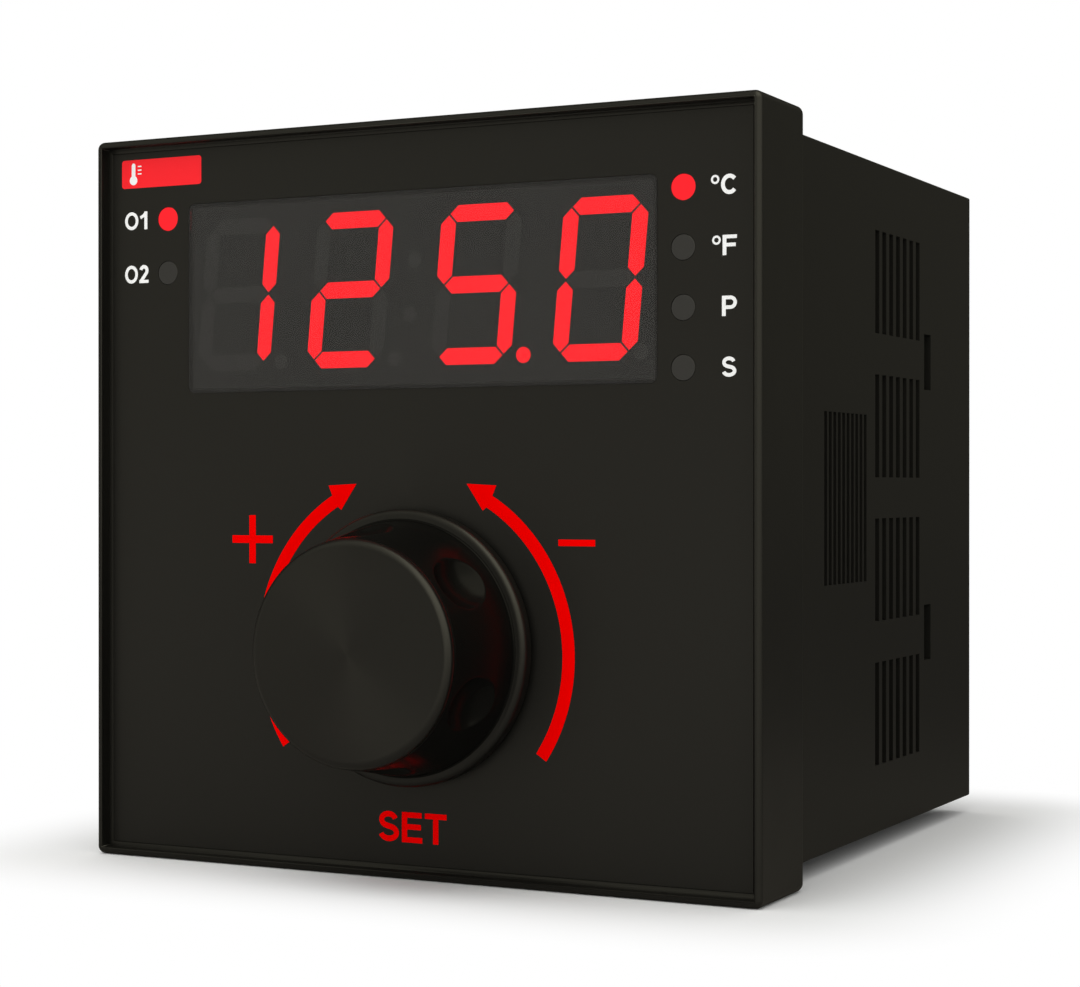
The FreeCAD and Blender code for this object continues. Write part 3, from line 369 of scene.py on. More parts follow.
def solid_mesh(form, name):
    """A mesh from a bmesh, with its faces turned outwards."""
    bmesh.ops.recalc_face_normals(form, faces=form.faces)
    mesh = bpy.data.meshes.new(name)
    form.to_mesh(mesh)
    form.free()
    return mesh


SMOOTH_ANGLE = 30


def smooth(mesh, angle=SMOOTH_ANGLE):
    """Shade smooth, with the edges sharper than an angle kept sharp."""
    mesh.polygons.foreach_set("use_smooth", [True] * len(mesh.polygons))
    mesh.set_sharp_from_angle(angle=math.radians(angle))


print("shading stays smooth up to", SMOOTH_ANGLE, "degrees")

# %% Broken edges
SHARP_ANGLE, BEVEL_STEPS = 32, 2


def break_edges(made, width, keep_sharp=None):
    """Round the sharp edges of a piece a little, but not those that keep_sharp picks."""
    mesh = made.data
    form = bmesh.new()
    form.from_mesh(mesh)
    weights = [0.0] * len(form.edges)
    for edge in form.edges:
        middle = (edge.verts[0].co + edge.verts[1].co) / 2
        sharp = (len(edge.link_faces) == 2
                 and edge.calc_face_angle() > math.radians(SHARP_ANGLE))
        if sharp and not (keep_sharp and keep_sharp(middle)):
            weights[edge.index] = 1.0
    form.free()
    weight = mesh.attributes.new("bevel_weight_edge", "FLOAT", "EDGE")
    weight.data.foreach_set("value", weights)
    bevel = made.modifiers.new("broken edges", "BEVEL")
    bevel.width = width * MM
    bevel.segments = BEVEL_STEPS
    bevel.limit_method = "WEIGHT"
    bevel.use_clamp_overlap = False
    level = made.modifiers.new("level normals", "WEIGHTED_NORMAL")
    level.keep_sharp = True


front_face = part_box("front_bezel")[0].y
BED_HIGH, BED_LOW, BED_SIDE = 1.5, 2.2, 46


def in_film_bed(place):
    """True for the foot of the bezel's recess, which the mould leaves sharp."""
    return (front_face + BED_HIGH * MM < place.y < front_face + BED_LOW * MM
            and max(abs(place.x), abs(place.z)) > BED_SIDE * MM)


print("edges past", SHARP_ANGLE, "degrees are broken")

# %% Dressed solids
MERGE_REACH, FLAT_ANGLE, ALONG_AXIS = 0.002, 0.4, 0.9999


def merged_copy(node, flatten):
    """A copy of a CAD node's mesh, joined up, with its flat areas made whole if asked."""
    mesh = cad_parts[node].data.copy()
    form = bmesh.new()
    form.from_mesh(mesh)
    bmesh.ops.remove_doubles(form, verts=form.verts, dist=MERGE_REACH * MM)
    if flatten:
        bmesh.ops.dissolve_limit(form, angle_limit=math.radians(FLAT_ANGLE), verts=form.verts,
                                 edges=form.edges, use_dissolve_boundaries=False)
    form.to_mesh(mesh)
    form.free()
    smooth(mesh)
    if not flatten:
        for face in mesh.polygons:
            face.use_smooth = max(abs(part) for part in face.normal) < ALONG_AXIS
    return mesh


def dress(name, node, finish, edge, keep_sharp=None):
    """A copy of a CAD node with its edges broken, in its real finish."""
    made = piece(name, merged_copy(node, edge > 0), finish, "housing", [node])
    if edge:
        break_edges(made, edge, keep_sharp)
    return made


dressed = [
    dress("bezel_shell", "front_bezel", "bezel", 0.15, in_film_bed),
    dress("film_sheet", "front_film", "film", 0.01),
    dress("window_pane", "display_window", "window", 0),
    dress("display_body", "display_module", "module", 0),
    dress("case_shell", "case_sleeve", "case", 0),
    dress("rear_plate", "rear_cover", "rear", 0.15),
    dress("terminals_left", "terminal_block_left", "terminal", 0.12),
    dress("terminals_right", "terminal_block_right", "terminal", 0.12),
    dress("wire_clamps", "terminal_clamps", "brass", 0.15),
    dress("lamp_output_1", "led_output_1", "lamp_lit", 0.06),
    dress("lamp_output_2", "led_output_2", "lamp_off", 0.06),
    dress("lamp_celsius", "led_celsius", "lamp_lit", 0.06),
    dress("lamp_fahrenheit", "led_fahrenheit", "lamp_off", 0.06),
    dress("lamp_program", "led_program", "lamp_off", 0.06),
    dress("lamp_setting", "led_set", "lamp_off", 0.06),
    dress("bars_lit", "lit_segments", "segment_lit", 0),
    dress("bars_unlit", "unlit_segments", "unlit", 0),
]
print(len(dressed), "dressed solids")

# %% [markdown]
# ## The knob
# The knob is a slightly tapered drum on a round skirt, with six shallow finger
# dimples. Its shape follows a rule, so it is drawn point by point instead of cut: a
# profile is turned round the axis, and where a point would fall inside one of six
# balls it is moved in to the ball's surface. A soft minimum of the two radii rounds
# the dimple's lip, as polishing does. The turn closes on itself, and the face and
# the bore end in one point each, so the skin has no open seam.

# %% Knob profile
FACE_RADIUS, FOOT_RADIUS, SKIRT_RADIUS = 13.9, 16.1, 17.5
FACE_ROUND, SKIRT_ROUND, ROOT_ROUND = 1.1, 0.8, 0.25
KNOB_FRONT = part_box("control_knob")[0].y / MM
KNOB_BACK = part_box("control_knob")[1].y / MM
SKIRT_FRONT = -16.0
HOLLOW_TOP, HOLLOW_FOOT, CEILING = 11.8, 13.4, 2.0
HUB_RADIUS, BORE_RADIUS, HUB_INSET, BACK_ROUND = 5.3, 3.05, 4.3, 0.2
HUB_FOOT = KNOB_BACK - HUB_INSET
FACE_RINGS, FACE_STEPS, SIDE_ROWS, ROOT_STEPS, SKIRT_STEPS, BACK_STEPS = 4, 12, 90, 4, 8, 4
QUARTER = math.radians(90)


def turn_profile():
    """Points of the outer skin as (radius, depth, kind), from the face to the back."""
    slope = (FOOT_RADIUS - FACE_RADIUS) / (SKIRT_FRONT - KNOB_FRONT)
    lean = math.atan(slope)
    points = [(r * (FACE_RADIUS - FACE_ROUND) / FACE_RINGS, KNOB_FRONT, "face")
              for r in range(1, FACE_RINGS)]
    # the round is tangent to the face and to the leaning side
    centre_y = KNOB_FRONT + FACE_ROUND
    centre_r = FACE_RADIUS + slope * FACE_ROUND - FACE_ROUND / math.cos(lean)
    for step in range(FACE_STEPS + 1):
        angle = QUARTER * (1 - step / FACE_STEPS) - lean * step / FACE_STEPS
        points.append((centre_r + FACE_ROUND * math.cos(angle),
                       centre_y - FACE_ROUND * math.sin(angle), "round"))
    first = points[-1][1]
    last = SKIRT_FRONT - ROOT_ROUND
    for step in range(1, SIDE_ROWS + 1):
        y = first + (last - first) * step / SIDE_ROWS
        points.append((FACE_RADIUS + slope * (y - KNOB_FRONT), y, "side"))
    root_r = points[-1][0] + ROOT_ROUND
    for step in range(1, ROOT_STEPS + 1):
        angle = QUARTER * step / ROOT_STEPS
        points.append((root_r - ROOT_ROUND * math.cos(angle),
                       last + ROOT_ROUND * math.sin(angle), "root"))
    flat_end = SKIRT_RADIUS - SKIRT_ROUND
    for step in range(SKIRT_STEPS + 1):
        angle = QUARTER * step / SKIRT_STEPS
        points.append((flat_end + SKIRT_ROUND * math.sin(angle),
                       SKIRT_FRONT + SKIRT_ROUND * (1 - math.cos(angle)), "skirt"))
    for step in range(BACK_STEPS + 1):
        angle = QUARTER * step / BACK_STEPS
        points.append((SKIRT_RADIUS - BACK_ROUND + BACK_ROUND * math.cos(angle),
                       KNOB_BACK - BACK_ROUND + BACK_ROUND * math.sin(angle), "skirt"))
    ceiling = KNOB_FRONT + CEILING
    return points + [(HOLLOW_FOOT, KNOB_BACK, "skirt"), (HOLLOW_TOP, ceiling, "inside"),
                     (HUB_RADIUS, ceiling, "inside"), (HUB_RADIUS, HUB_FOOT, "inside"),
                     (BORE_RADIUS, HUB_FOOT, "inside"), (BORE_RADIUS, ceiling, "inside")]


profile = turn_profile()
print(len(profile), "profile points")

# %% Knob skin with six dimples
DIMPLES, FIRST_DIMPLE = 6, math.radians(36)
DIMPLE_BALL, DIMPLE_SINK, DIMPLE_DEPTH = 6.0, 1.6, -23.2
LIP, FAR_FROM_LIP = 0.05, 8
TURNS, KNOB_SMOOTH = 640, 50
FINISH_OF = {"face": 0, "round": 0, "side": 1, "root": 1, "skirt": 2, "inside": 2}


def dimpled(radius, depth, angle):
    """The radius of the side after the nearest finger dimple is pressed in."""
    wall = FACE_RADIUS + (FOOT_RADIUS - FACE_RADIUS) * (DIMPLE_DEPTH - KNOB_FRONT) / (
        SKIRT_FRONT - KNOB_FRONT)
    away = wall + DIMPLE_BALL - DIMPLE_SINK
    pitch = math.tau / DIMPLES
    off = (angle - FIRST_DIMPLE + pitch / 2) % pitch - pitch / 2
    room = ((away * math.cos(off)) ** 2 - away ** 2 - (depth - DIMPLE_DEPTH) ** 2
            + DIMPLE_BALL ** 2)
    if room <= 0:
        return radius
    ball = away * math.cos(off) - math.sqrt(room)
    gap = (ball - radius) / LIP
    if gap > FAR_FROM_LIP:
        return radius
    if gap < -FAR_FROM_LIP:
        return ball
    return radius - LIP * math.log1p(math.exp(-gap))


def knob_mesh():
    """Turn the profile round the knob's axis, and close it at both ends."""
    form = bmesh.new()
    axis_x, axis_z = knob_place.x / MM, knob_place.z / MM
    rings = []
    for radius, depth, kind in profile:
        ring = []
        for turn in range(TURNS):
            angle = math.tau * turn / TURNS
            r = dimpled(radius, depth, angle) if kind == "side" else radius
            ring.append(form.verts.new(((axis_x + r * math.cos(angle)) * MM, depth * MM,
                                        (axis_z + r * math.sin(angle)) * MM)))
        rings.append(ring)
    ends = [form.verts.new((axis_x * MM, p[1] * MM, axis_z * MM))
            for p in (profile[0], profile[-1])]
    for row in range(len(rings) - 1):
        part = FINISH_OF[profile[row + 1][2]]
        for turn in range(TURNS):
            after = (turn + 1) % TURNS
            face = form.faces.new((rings[row][turn], rings[row + 1][turn],
                                   rings[row + 1][after], rings[row][after]))
            face.material_index = part
    for ring, end, index in ((rings[0], ends[0], 0), (rings[-1], ends[1], 2)):
        for turn in range(TURNS):
            face = form.faces.new((end, ring[turn], ring[(turn + 1) % TURNS]))
            face.material_index = index
    return solid_mesh(form, "knob_skin")


knob = piece("knob_drum", knob_mesh(), None, "knob", ["control_knob"])
knob.data.materials.append(finishes["knob_face"])
knob.data.materials.append(finishes["knob_side"])
knob.data.materials.append(finishes["bezel"])
smooth(knob.data, KNOB_SMOOTH)
print("knob triangles:", sum(len(p.vertices) - 2 for p in knob.data.polygons))

# %% [markdown]
# ## The printing on the film
# Screen-printed ink stands about 0.02 mm proud of the film. Each mark is a thin
# closed prism of that height, let a hair into the film, so no two faces lie in one
# plane. The marks are plain ones that any such controller has: two output names,
# two degree signs, P and S, a plus, a minus, two curved arrows and the word SET.

# %% Tools for printing
FILM_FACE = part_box("front_film")[0].y / MM
INK_HEIGHT, INK_ROOT, MITRE_LIMIT = 0.02, 0.01, 0.5


def prism(name, outlines, finish, lift=0.0):
    """Thin prisms on the film, from outlines of (across, up) points in mm."""
    form = bmesh.new()
    for outline in outlines:
        layers = []
        for depth in (FILM_FACE - INK_HEIGHT - lift, FILM_FACE + INK_ROOT):
            layers.append([form.verts.new((x * MM, depth * MM, z * MM)) for x, z in outline])
        count = len(outline)
        for turn in range(count):
            after = (turn + 1) % count
            form.faces.new((layers[0][turn], layers[0][after],
                            layers[1][after], layers[1][turn]))
        for layer in layers:
            form.faces.new(layer)
    return piece(name, solid_mesh(form, name), finish, "housing")


def arc(x, z, radius, start, end, steps, stretch=1.0):
    """Points along an arc about (x, z), its angles in degrees, stretched in height."""
    angles = [math.radians(start + (end - start) * s / steps) for s in range(steps + 1)]
    return [(x + radius * math.cos(a), z + stretch * radius * math.sin(a)) for a in angles]


def stroke(form, path, half, closed, depth):
    """A thin solid of even width along a path of (across, up) points, with mitred corners."""
    spots = [Vector(spot) for spot in path]
    count = len(spots)
    rows = []
    for turn, spot in enumerate(spots):
        ways = []
        if turn or closed:
            ways.append((spot - spots[turn - 1]).normalized())
        if turn < count - 1 or closed:
            ways.append((spots[(turn + 1) % count] - spot).normalized())
        along = sum(ways, Vector((0, 0))).normalized()
        reach = Vector((-along.y, along.x)) * half / max(along.dot(ways[0]), MITRE_LIMIT)
        ends = ((spot + reach, depth), (spot - reach, depth),
                (spot - reach, FILM_FACE + INK_ROOT), (spot + reach, FILM_FACE + INK_ROOT))
        rows.append([form.verts.new((p.x * MM, y * MM, p.y * MM)) for p, y in ends])
    pairs = list(zip(rows, rows[1:] + rows[:1])) if closed else list(zip(rows, rows[1:]))
    for a, b in pairs:
        for side in range(4):
            form.faces.new((a[side], b[side], b[(side + 1) % 4], a[(side + 1) % 4]))
    if not closed:
        form.faces.new(rows[0])
        form.faces.new(rows[-1])


print("film face at", round(FILM_FACE, 2), "mm")

# %% Arrows, plus and minus
ARROW_UP, ARROW_RADIUS, STROKE = -19.5, 22.2, 1.67
TAIL_ANGLE, NECK_ANGLE, ARROW_STEPS = -33.8, 59.6, 48
HEAD = [(12.2, 1.67), (8.03, 1.88), (10.3, -1.48)]
PLUS_X, PLUS_Z, PLUS_HALF, PLUS_STROKE = -23.9, -5.37, 3.15, 0.5
MINUS_LEFT, MINUS_RIGHT, MINUS_LOW, MINUS_HIGH = 20.8, 25.8, -5.77, -4.97


def box_outline(left, right, low, high):
    """The four corners of an upright rectangle."""
    return [(left, low), (right, low), (right, high), (left, high)]


right_arrow = (
    arc(0, ARROW_UP, ARROW_RADIUS + STROKE / 2, TAIL_ANGLE, NECK_ANGLE, ARROW_STEPS) + HEAD
    + arc(0, ARROW_UP, ARROW_RADIUS - STROKE / 2, NECK_ANGLE, TAIL_ANGLE, ARROW_STEPS))
left_arrow = [(-x, z) for x, z in right_arrow]
quarter = [(PLUS_STROKE, PLUS_HALF), (PLUS_STROKE, PLUS_STROKE), (PLUS_HALF, PLUS_STROKE)]
plus = [(PLUS_X + a * x, PLUS_Z + b * z) for a, b in ((1, 1), (1, -1), (-1, -1), (-1, 1))
        for x, z in quarter[::a * b]]
minus = box_outline(MINUS_LEFT, MINUS_RIGHT, MINUS_LOW, MINUS_HIGH)
prism("ink_arrows", [right_arrow, left_arrow], "red_ink")
prism("ink_signs", [plus, minus], "red_ink")
print("arrow points:", len(right_arrow))

# %% [markdown]
# ## Letters from strokes
# Each letter is drawn as a sign writer would: a few strokes of one even width, along
# straight lines and parts of ellipses. The sizes are shares of the capital height. A
# stroke keeps its width round a corner by a mitre, and each stroke of a letter stands
# a thousandth of a millimetre higher than the last, so no two tops lie in one plane.

# %% The letters
LETTERS = {  # width, then strokes as (path, half width, closed)
    "O": (0.92, [(arc(0.46, 0.5, 0.37, 0, 345, 23, 1.11), 0.09, True)]),
    "1": (0.52, [([(0.42, 0), (0.42, 1)], 0.1, False),
                 ([(0.4, 0.93), (0.27, 0.77), (0.04, 0.66)], 0.085, False)]),
    "2": (0.67, [(arc(0.34, 0.69, 0.22, 168, -38, 14) + [(0.13, 0.1)], 0.1, False),
                 ([(0.01, 0.085), (0.67, 0.085)], 0.085, False)]),
    "C": (0.84, [(arc(0.46, 0.5, 0.36, 40, 320, 24, 1.12), 0.1, False)]),
    "P": (0.79, [([(0.1, 0), (0.1, 1)], 0.1, False),
                 ([(0.1, 0.91)] + arc(0.45, 0.67, 0.25, 90, -90, 14, 0.96) + [(0.1, 0.43)],
                  0.09, False)]),
    "S": (0.79, [(arc(0.39, 0.71, 0.26, 14, 250, 16, 0.76)
                  + arc(0.4, 0.29, 0.29, 75, -168, 18, 0.69), 0.092, False)]),
    "F": (0.75, [([(0.1, 0), (0.1, 1)], 0.1, False),
                 ([(0.1, 0.91), (0.75, 0.91)], 0.09, False),
                 ([(0.1, 0.51), (0.69, 0.51)], 0.09, False)]),
    "E": (0.76, [([(0.1, 0), (0.1, 1)], 0.1, False),
                 ([(0.1, 0.91), (0.74, 0.91)], 0.09, False),
                 ([(0.1, 0.52), (0.71, 0.52)], 0.09, False),
                 ([(0.1, 0.09), (0.76, 0.09)], 0.09, False)]),
    "T": (0.8, [([(0.4, 0), (0.4, 0.95)], 0.1, False),
                ([(0, 0.91), (0.8, 0.91)], 0.09, False)]),
    "degree": (0.45, [(arc(0.225, 0.76, 0.175, 0, 345, 23), 0.052, True)]),
}
LETTER_GAP, STROKE_LIFT = 0.1, 0.001


def lettering(name, words, finish):
    """Words as (letters, left, right, middle height, capital height) in mm."""
    form = bmesh.new()
    for letters, left, right, middle, cap in words:
        natural = sum(LETTERS[key][0] for key in letters) + LETTER_GAP * (len(letters) - 1)
        across = (right - left) / natural
        start = 0
        for key in letters:
            for level, (path, half, closed) in enumerate(LETTERS[key][1]):
                placed = [(left + (start + x) * across, middle + (z - 0.5) * cap)
                          for x, z in path]
                stroke(form, placed, half * cap, closed,
                       FILM_FACE - INK_HEIGHT - level * STROKE_LIFT)
            start += LETTERS[key][0] + LETTER_GAP
    return piece(name, solid_mesh(form, name), finish, "housing")


lamp_rows = [sum(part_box(n), Vector()).z / 2 / MM for n in (
    "led_celsius", "led_fahrenheit", "led_program", "led_set")]
CAP, SET_CAP = 2.4, 3.85
lettering("ink_outputs", [("O1", -44.4, -40.75, lamp_rows[0], CAP),
                          ("O2", -44.4, -40.55, lamp_rows[1], CAP)], "white_ink")
lettering("ink_units", [(("degree", "C"), 41.0, 44.25, lamp_rows[0], CAP),
                        (("degree", "F"), 41.15, 44.3, lamp_rows[1], CAP),
                        ("P", 42.4, 44.3, lamp_rows[2], CAP),
                        ("S", 42.35, 44.25, lamp_rows[3], CAP)], "white_ink")
lettering("ink_set", [("SET", -4.8, 5.15, -41.65, SET_CAP)], "red_ink")
print("lamp rows in mm:", [round(z, 1) for z in lamp_rows])

# %% [markdown]
# ## A plain label
# The upper left corner carries a small label. Here it is a bare red one with a
# plain thermometer on it, which says what the instrument is for.

# %% Label and thermometer
LABEL = (-44.9, -32.0, 41.7, 45.5)
CORNER = 0.4
left, right, low, high = LABEL
label_outline = (arc(right - CORNER, high - CORNER, CORNER, 0, 90, 4)
                 + arc(left + CORNER, high - CORNER, CORNER, 90, 180, 4)
                 + arc(left + CORNER, low + CORNER, CORNER, 180, 270, 4)
                 + arc(right - CORNER, low + CORNER, CORNER, 270, 360, 4))
prism("label_plate", [label_outline], "label_red")
BULB_X, BULB_Z, BULB, NECK = -43.0, 42.75, 0.62, 29
STEM, STEM_TOP = 0.3, 44.75
MARK_LEFT, MARK_RIGHT, MARK_HALF, MARK_ROWS = -42.3, -41.7, 0.08, (43.6, 44.1, 44.6)
thermometer = (arc(BULB_X, BULB_Z, BULB, 90 + NECK, 360 + 90 - NECK, 20)
               + arc(BULB_X, STEM_TOP, STEM, 0, 180, 8))
marks = [box_outline(MARK_LEFT, MARK_RIGHT, z - MARK_HALF, z + MARK_HALF)
         for z in MARK_ROWS]
prism("label_thermometer", [thermometer, *marks], "white_ink", lift=INK_ROOT)
print("label", round(right - left, 1), "by", round(high - low, 1), "mm")

# %% [markdown]
# ## Repeated pieces with Geometry Nodes
# The two terminal blocks hold a row of twelve clamp screws each. Geometry Nodes
# repeat one small mesh along a line of points and again along a line of rows. The
# tree has a named input for each size, ends in Realize Instances and Set Material,
# and its result is kept as a plain mesh. This way the screw is drawn once, and a
# change of pitch is one number.

# %% A tree that repeats a mesh in rows
def repeat_tree():
    """Geometry Nodes: the incoming mesh, repeated along a line, and in rows."""
    tree = bpy.data.node_groups.new("repeat in rows", "GeometryNodeTree")
    ids = {}
    for name, kind in (("Mesh", "Geometry"), ("Count", "Int"), ("Start", "Vector"),
                       ("Step", "Vector"), ("Rows", "Int"), ("Row Step", "Vector"),
                       ("Finish", "Material")):
        ids[name] = tree.interface.new_socket(name, in_out="INPUT",
                                              socket_type="NodeSocket" + kind).identifier
    tree.interface.new_socket("Mesh", in_out="OUTPUT", socket_type="NodeSocketGeometry")
    given = tree.nodes.new("NodeGroupInput").outputs
    line = add(tree, "GeometryNodeMeshLine", {"Count": given["Count"], "Offset": given["Step"],
                                              "Start Location": given["Start"]})
    rows = add(tree, "GeometryNodeMeshLine", {"Count": given["Rows"],
                                              "Offset": given["Row Step"]})
    one = add(tree, "GeometryNodeInstanceOnPoints", {"Points": line.outputs[0],
                                                     "Instance": given["Mesh"]})
    every = add(tree, "GeometryNodeInstanceOnPoints", {"Points": rows.outputs[0],
                                                       "Instance": one.outputs[0]})
    real = add(tree, "GeometryNodeRealizeInstances", {"Geometry": every.outputs[0]})
    done = add(tree, "GeometryNodeSetMaterial", {"Geometry": real.outputs[0],
                                                 "Material": given["Finish"]})
    add(tree, "NodeGroupOutput", {"Mesh": done.outputs[0]})
    return tree, ids


repeat, socket_ids = repeat_tree()
SCREW_SMOOTH = 35


def repeated(name, form, finish, count, start, step, rows, row_step, nodes):
    """Repeat a small bmesh by the tree, and keep the result as a plain mesh."""
    maker = bpy.data.objects.new("maker", solid_mesh(form, "seed"))
    bpy.context.scene.collection.objects.link(maker)
    modifier = maker.modifiers.new("repeat", "NODES")
    modifier.node_group = repeat
    values = {"Count": count, "Start": Vector(start) * MM, "Step": Vector(step) * MM,
              "Rows": rows, "Row Step": Vector(row_step) * MM, "Finish": finishes[finish]}
    for key, value in values.items():
        modifier[socket_ids[key]] = value
    mesh = bpy.data.meshes.new_from_object(
        maker.evaluated_get(bpy.context.evaluated_depsgraph_get()))
    bpy.data.objects.remove(maker)
    smooth(mesh, SCREW_SMOOTH)
    return piece(name, mesh, finish, "housing", nodes)


print("inputs:", ", ".join(socket_ids))

# %% [markdown]
# ## The clamp screws
# The clamp screws stand in round holes of the terminal blocks, with a straight slot
# in a pan head. Cutting a slot would need a Boolean, which leaves slivers. So the top
# of the head is drawn as two half moons, each a small closed block, on a lower floor,
# and the slot is the room left between them. The rest is a profile turned round Y.
# The screws of the cover and of the display board keep their CAD shapes.

# %% One slotted screw
SCREW_SIDES, MOON_STEPS, HEAD_BEVEL = 24, 10, 0.25


def turned(form, points):
    """Turn (radius, depth) points round Y, with one face at each end."""
    rings = []
    for radius, depth in points:
        angles = [math.tau * s / SCREW_SIDES for s in range(SCREW_SIDES)]
        rings.append([form.verts.new((radius * math.cos(a) * MM, depth * MM,
                                      radius * math.sin(a) * MM)) for a in angles])
    for a, b in zip(rings, rings[1:]):
        for s in range(SCREW_SIDES):
            after = (s + 1) % SCREW_SIDES
            form.faces.new((a[s], b[s], b[after], a[after]))
    form.faces.new(rings[0])
    form.faces.new(rings[-1])
    return form


def slotted_head(wide, back, thick, slot_wide, slot_deep, shank_wide, tip):
    """A pan head whose top faces +Y, with a straight slot, on a plain shank."""
    form = bmesh.new()
    radius = wide / 2
    floor = back - slot_deep
    half = math.asin(slot_wide / 2 / (radius - HEAD_BEVEL))
    for side in (0, math.pi):
        angles = [side + half + (math.pi - 2 * half) * s / MOON_STEPS
                  for s in range(MOON_STEPS + 1)]
        top, low_edge, base = (
            [form.verts.new((r * math.cos(a) * MM, y * MM, r * math.sin(a) * MM))
             for a in angles]
            for r, y in ((radius - HEAD_BEVEL, back), (radius, back - HEAD_BEVEL),
                         (radius, floor)))
        form.faces.new(top)
        form.faces.new(list(reversed(base)))
        for s in range(MOON_STEPS):
            form.faces.new((top[s], low_edge[s], low_edge[s + 1], top[s + 1]))
            form.faces.new((low_edge[s], base[s], base[s + 1], low_edge[s + 1]))
        form.faces.new((top[0], top[-1], low_edge[-1], base[-1], base[0], low_edge[0]))
    return turned(form, [(radius, floor), (radius, back - thick),
                         (shank_wide / 2, back - thick), (shank_wide / 2, tip)])


screw_low, screw_high = (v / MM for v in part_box("terminal_screws"))
HEAD_WIDE, HEAD_THICK, SLOT_WIDE, SLOT_DEEP, SHANK_WIDE = 3.5, 2.0, 0.6, 0.8, 2.5
PITCH, CELLS, BLOCKS, SCREW_SIDE = 6.9, 12, 2, 30.7
clamp_screw = slotted_head(HEAD_WIDE, screw_high.y, HEAD_THICK, SLOT_WIDE, SLOT_DEEP,
                           SHANK_WIDE, screw_low.y)
repeated("clamp_screws", clamp_screw, "zinc", CELLS,
         (-SCREW_SIDE, 0, -PITCH * (CELLS - 1) / 2), (0, 0, PITCH),
         BLOCKS, (2 * SCREW_SIDE, 0, 0), ["terminal_screws"])
print("clamp screws:", BLOCKS * CELLS)

# %% [markdown]
# ## The hidden inside
# Behind the vents are the boards, the transformer, relays, capacitors and chips, and
# behind the knob the encoder. They hardly show, so they keep their CAD shapes, as the
# screws of the cover do, and each gets the finish of its real material in its slot.

# %% Finishes on the solids that keep their shapes
hidden = {
    "board": ("display_board", "power_board", "processor_board"),
    "nylon_black": ("encoder_base", "header_left", "header_right"),
    "nylon_white": ("encoder_rotor", "push_plunger"),
    "casting": ("encoder_bushing",),
    "steel": ("encoder_shaft",),
    "nickel": ("encoder_washer", "encoder_nut"),
    "bronze": ("switch_contact",),
    "zinc": ("board_screws", "cover_screws"),
    "core": ("transformer_core",),
    "tape": ("transformer_coil",),
    "relay": ("relay_1", "relay_2"),
    "capacitor": ("capacitors",),
    "chip": ("microcontroller", "input_converter"),
    "unlit": ("lamp_chips",),
}
for finish, nodes in hidden.items():
    for node in nodes:
        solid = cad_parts[node]
        solid.data.materials.clear()
        solid.data.materials.append(finishes[finish])
print(sum(len(n) for n in hidden.values()), "solids that keep their shapes")

# %% [markdown]
# ## The floor
# A pale matt floor lies under the bezel and keeps the object's shadow. Towards its
# edge it turns to plain white for the camera, so it joins the white background
# without a line. The mix is worked out from the distance to the object's footprint.
# Gloss sees a calmer floor with painted shade, grey in front and dark behind, as the room's
# light is.

# %% Floor
FLOOR_HALF, SHADOW_REACH, FLOOR_GAP, TURN_GREY = 1.5, 0.03, 0.00005, 0.2
BEZEL_DEEP = 0.015
FOOT_CENTRE = (0, (cad_high.y - BEZEL_DEEP) / 2, 0)
FOOT_HALF = (cad_high.x, (cad_high.y + BEZEL_DEEP) / 2, 1)
floor_mesh = bpy.data.meshes.new("floor")
floor_mesh.from_pydata([(x * FLOOR_HALF, y * FLOOR_HALF, cad_low.z - FLOOR_GAP)
                        for x, y in ((-1, -1), (1, -1), (1, 1), (-1, 1))], [], [(0, 1, 2, 3)])
floor = bpy.data.objects.new("floor", floor_mesh)
bpy.context.scene.collection.objects.link(floor)
floor_paint, tree, shader, place = new_material("pale matt floor")
shader.inputs["Base Color"].default_value = linear("#f4f4f2")
shader.inputs["Roughness"].default_value = 0.9
shader.inputs["Specular IOR Level"].default_value = 0.0
out = add(tree, "ShaderNodeVectorMath", {0: place, 1: FOOT_CENTRE}, operation="SUBTRACT")
size = add(tree, "ShaderNodeVectorMath", {0: out.outputs[0]}, operation="ABSOLUTE")
past = add(tree, "ShaderNodeVectorMath", {0: size.outputs[0], 1: FOOT_HALF},
           operation="SUBTRACT")
beyond = add(tree, "ShaderNodeVectorMath", {0: past.outputs[0], 1: (0, 0, 0)},
             operation="MAXIMUM")
reach = add(tree, "ShaderNodeVectorMath", {0: beyond.outputs[0]}, operation="LENGTH")
fade = add(tree, "ShaderNodeMapRange", {"Value": reach.outputs["Value"], "From Min": 0.0,
                                        "From Max": SHADOW_REACH},
           interpolation_type="SMOOTHSTEP")
light_path = add(tree, "ShaderNodeLightPath").outputs
seen = add(tree, "ShaderNodeMath", {0: fade.outputs["Result"], 1: light_path["Is Camera Ray"]},
           operation="MULTIPLY")
glow = add(tree, "ShaderNodeEmission", {"Color": (1, 1, 1, 1), "Strength": 1.0})
# painted shade for the reflections: the floor that gloss sees is grey in front and dark behind,
# like the room's light
along_y = add(tree, "ShaderNodeSeparateXYZ", {"Vector": place}).outputs["Y"]
front_to_back = add(tree, "ShaderNodeMapRange", {"Value": along_y, "From Min": -TURN_GREY,
                                                 "From Max": TURN_GREY})
room_shade_for_gloss = add(tree, "ShaderNodeMix", {"Factor": front_to_back.outputs["Result"],
                                   6: linear("#aaa494"), 7: linear("#403e39")},
           data_type="RGBA")
shaded_floor_for_gloss = add(tree, "ShaderNodeBsdfDiffuse", {"Color": room_shade_for_gloss.outputs[2]})
for_gloss = add(tree, "ShaderNodeMixShader", {0: light_path["Is Glossy Ray"],
                                              1: shader.outputs["BSDF"], 2: shaded_floor_for_gloss.outputs[0]})
both = add(tree, "ShaderNodeMixShader", {0: seen.outputs[0], 1: for_gloss.outputs[0],
                                         2: glow.outputs[0]})
tree.links.new(both.outputs[0], tree.nodes["Material Output"].inputs["Surface"])
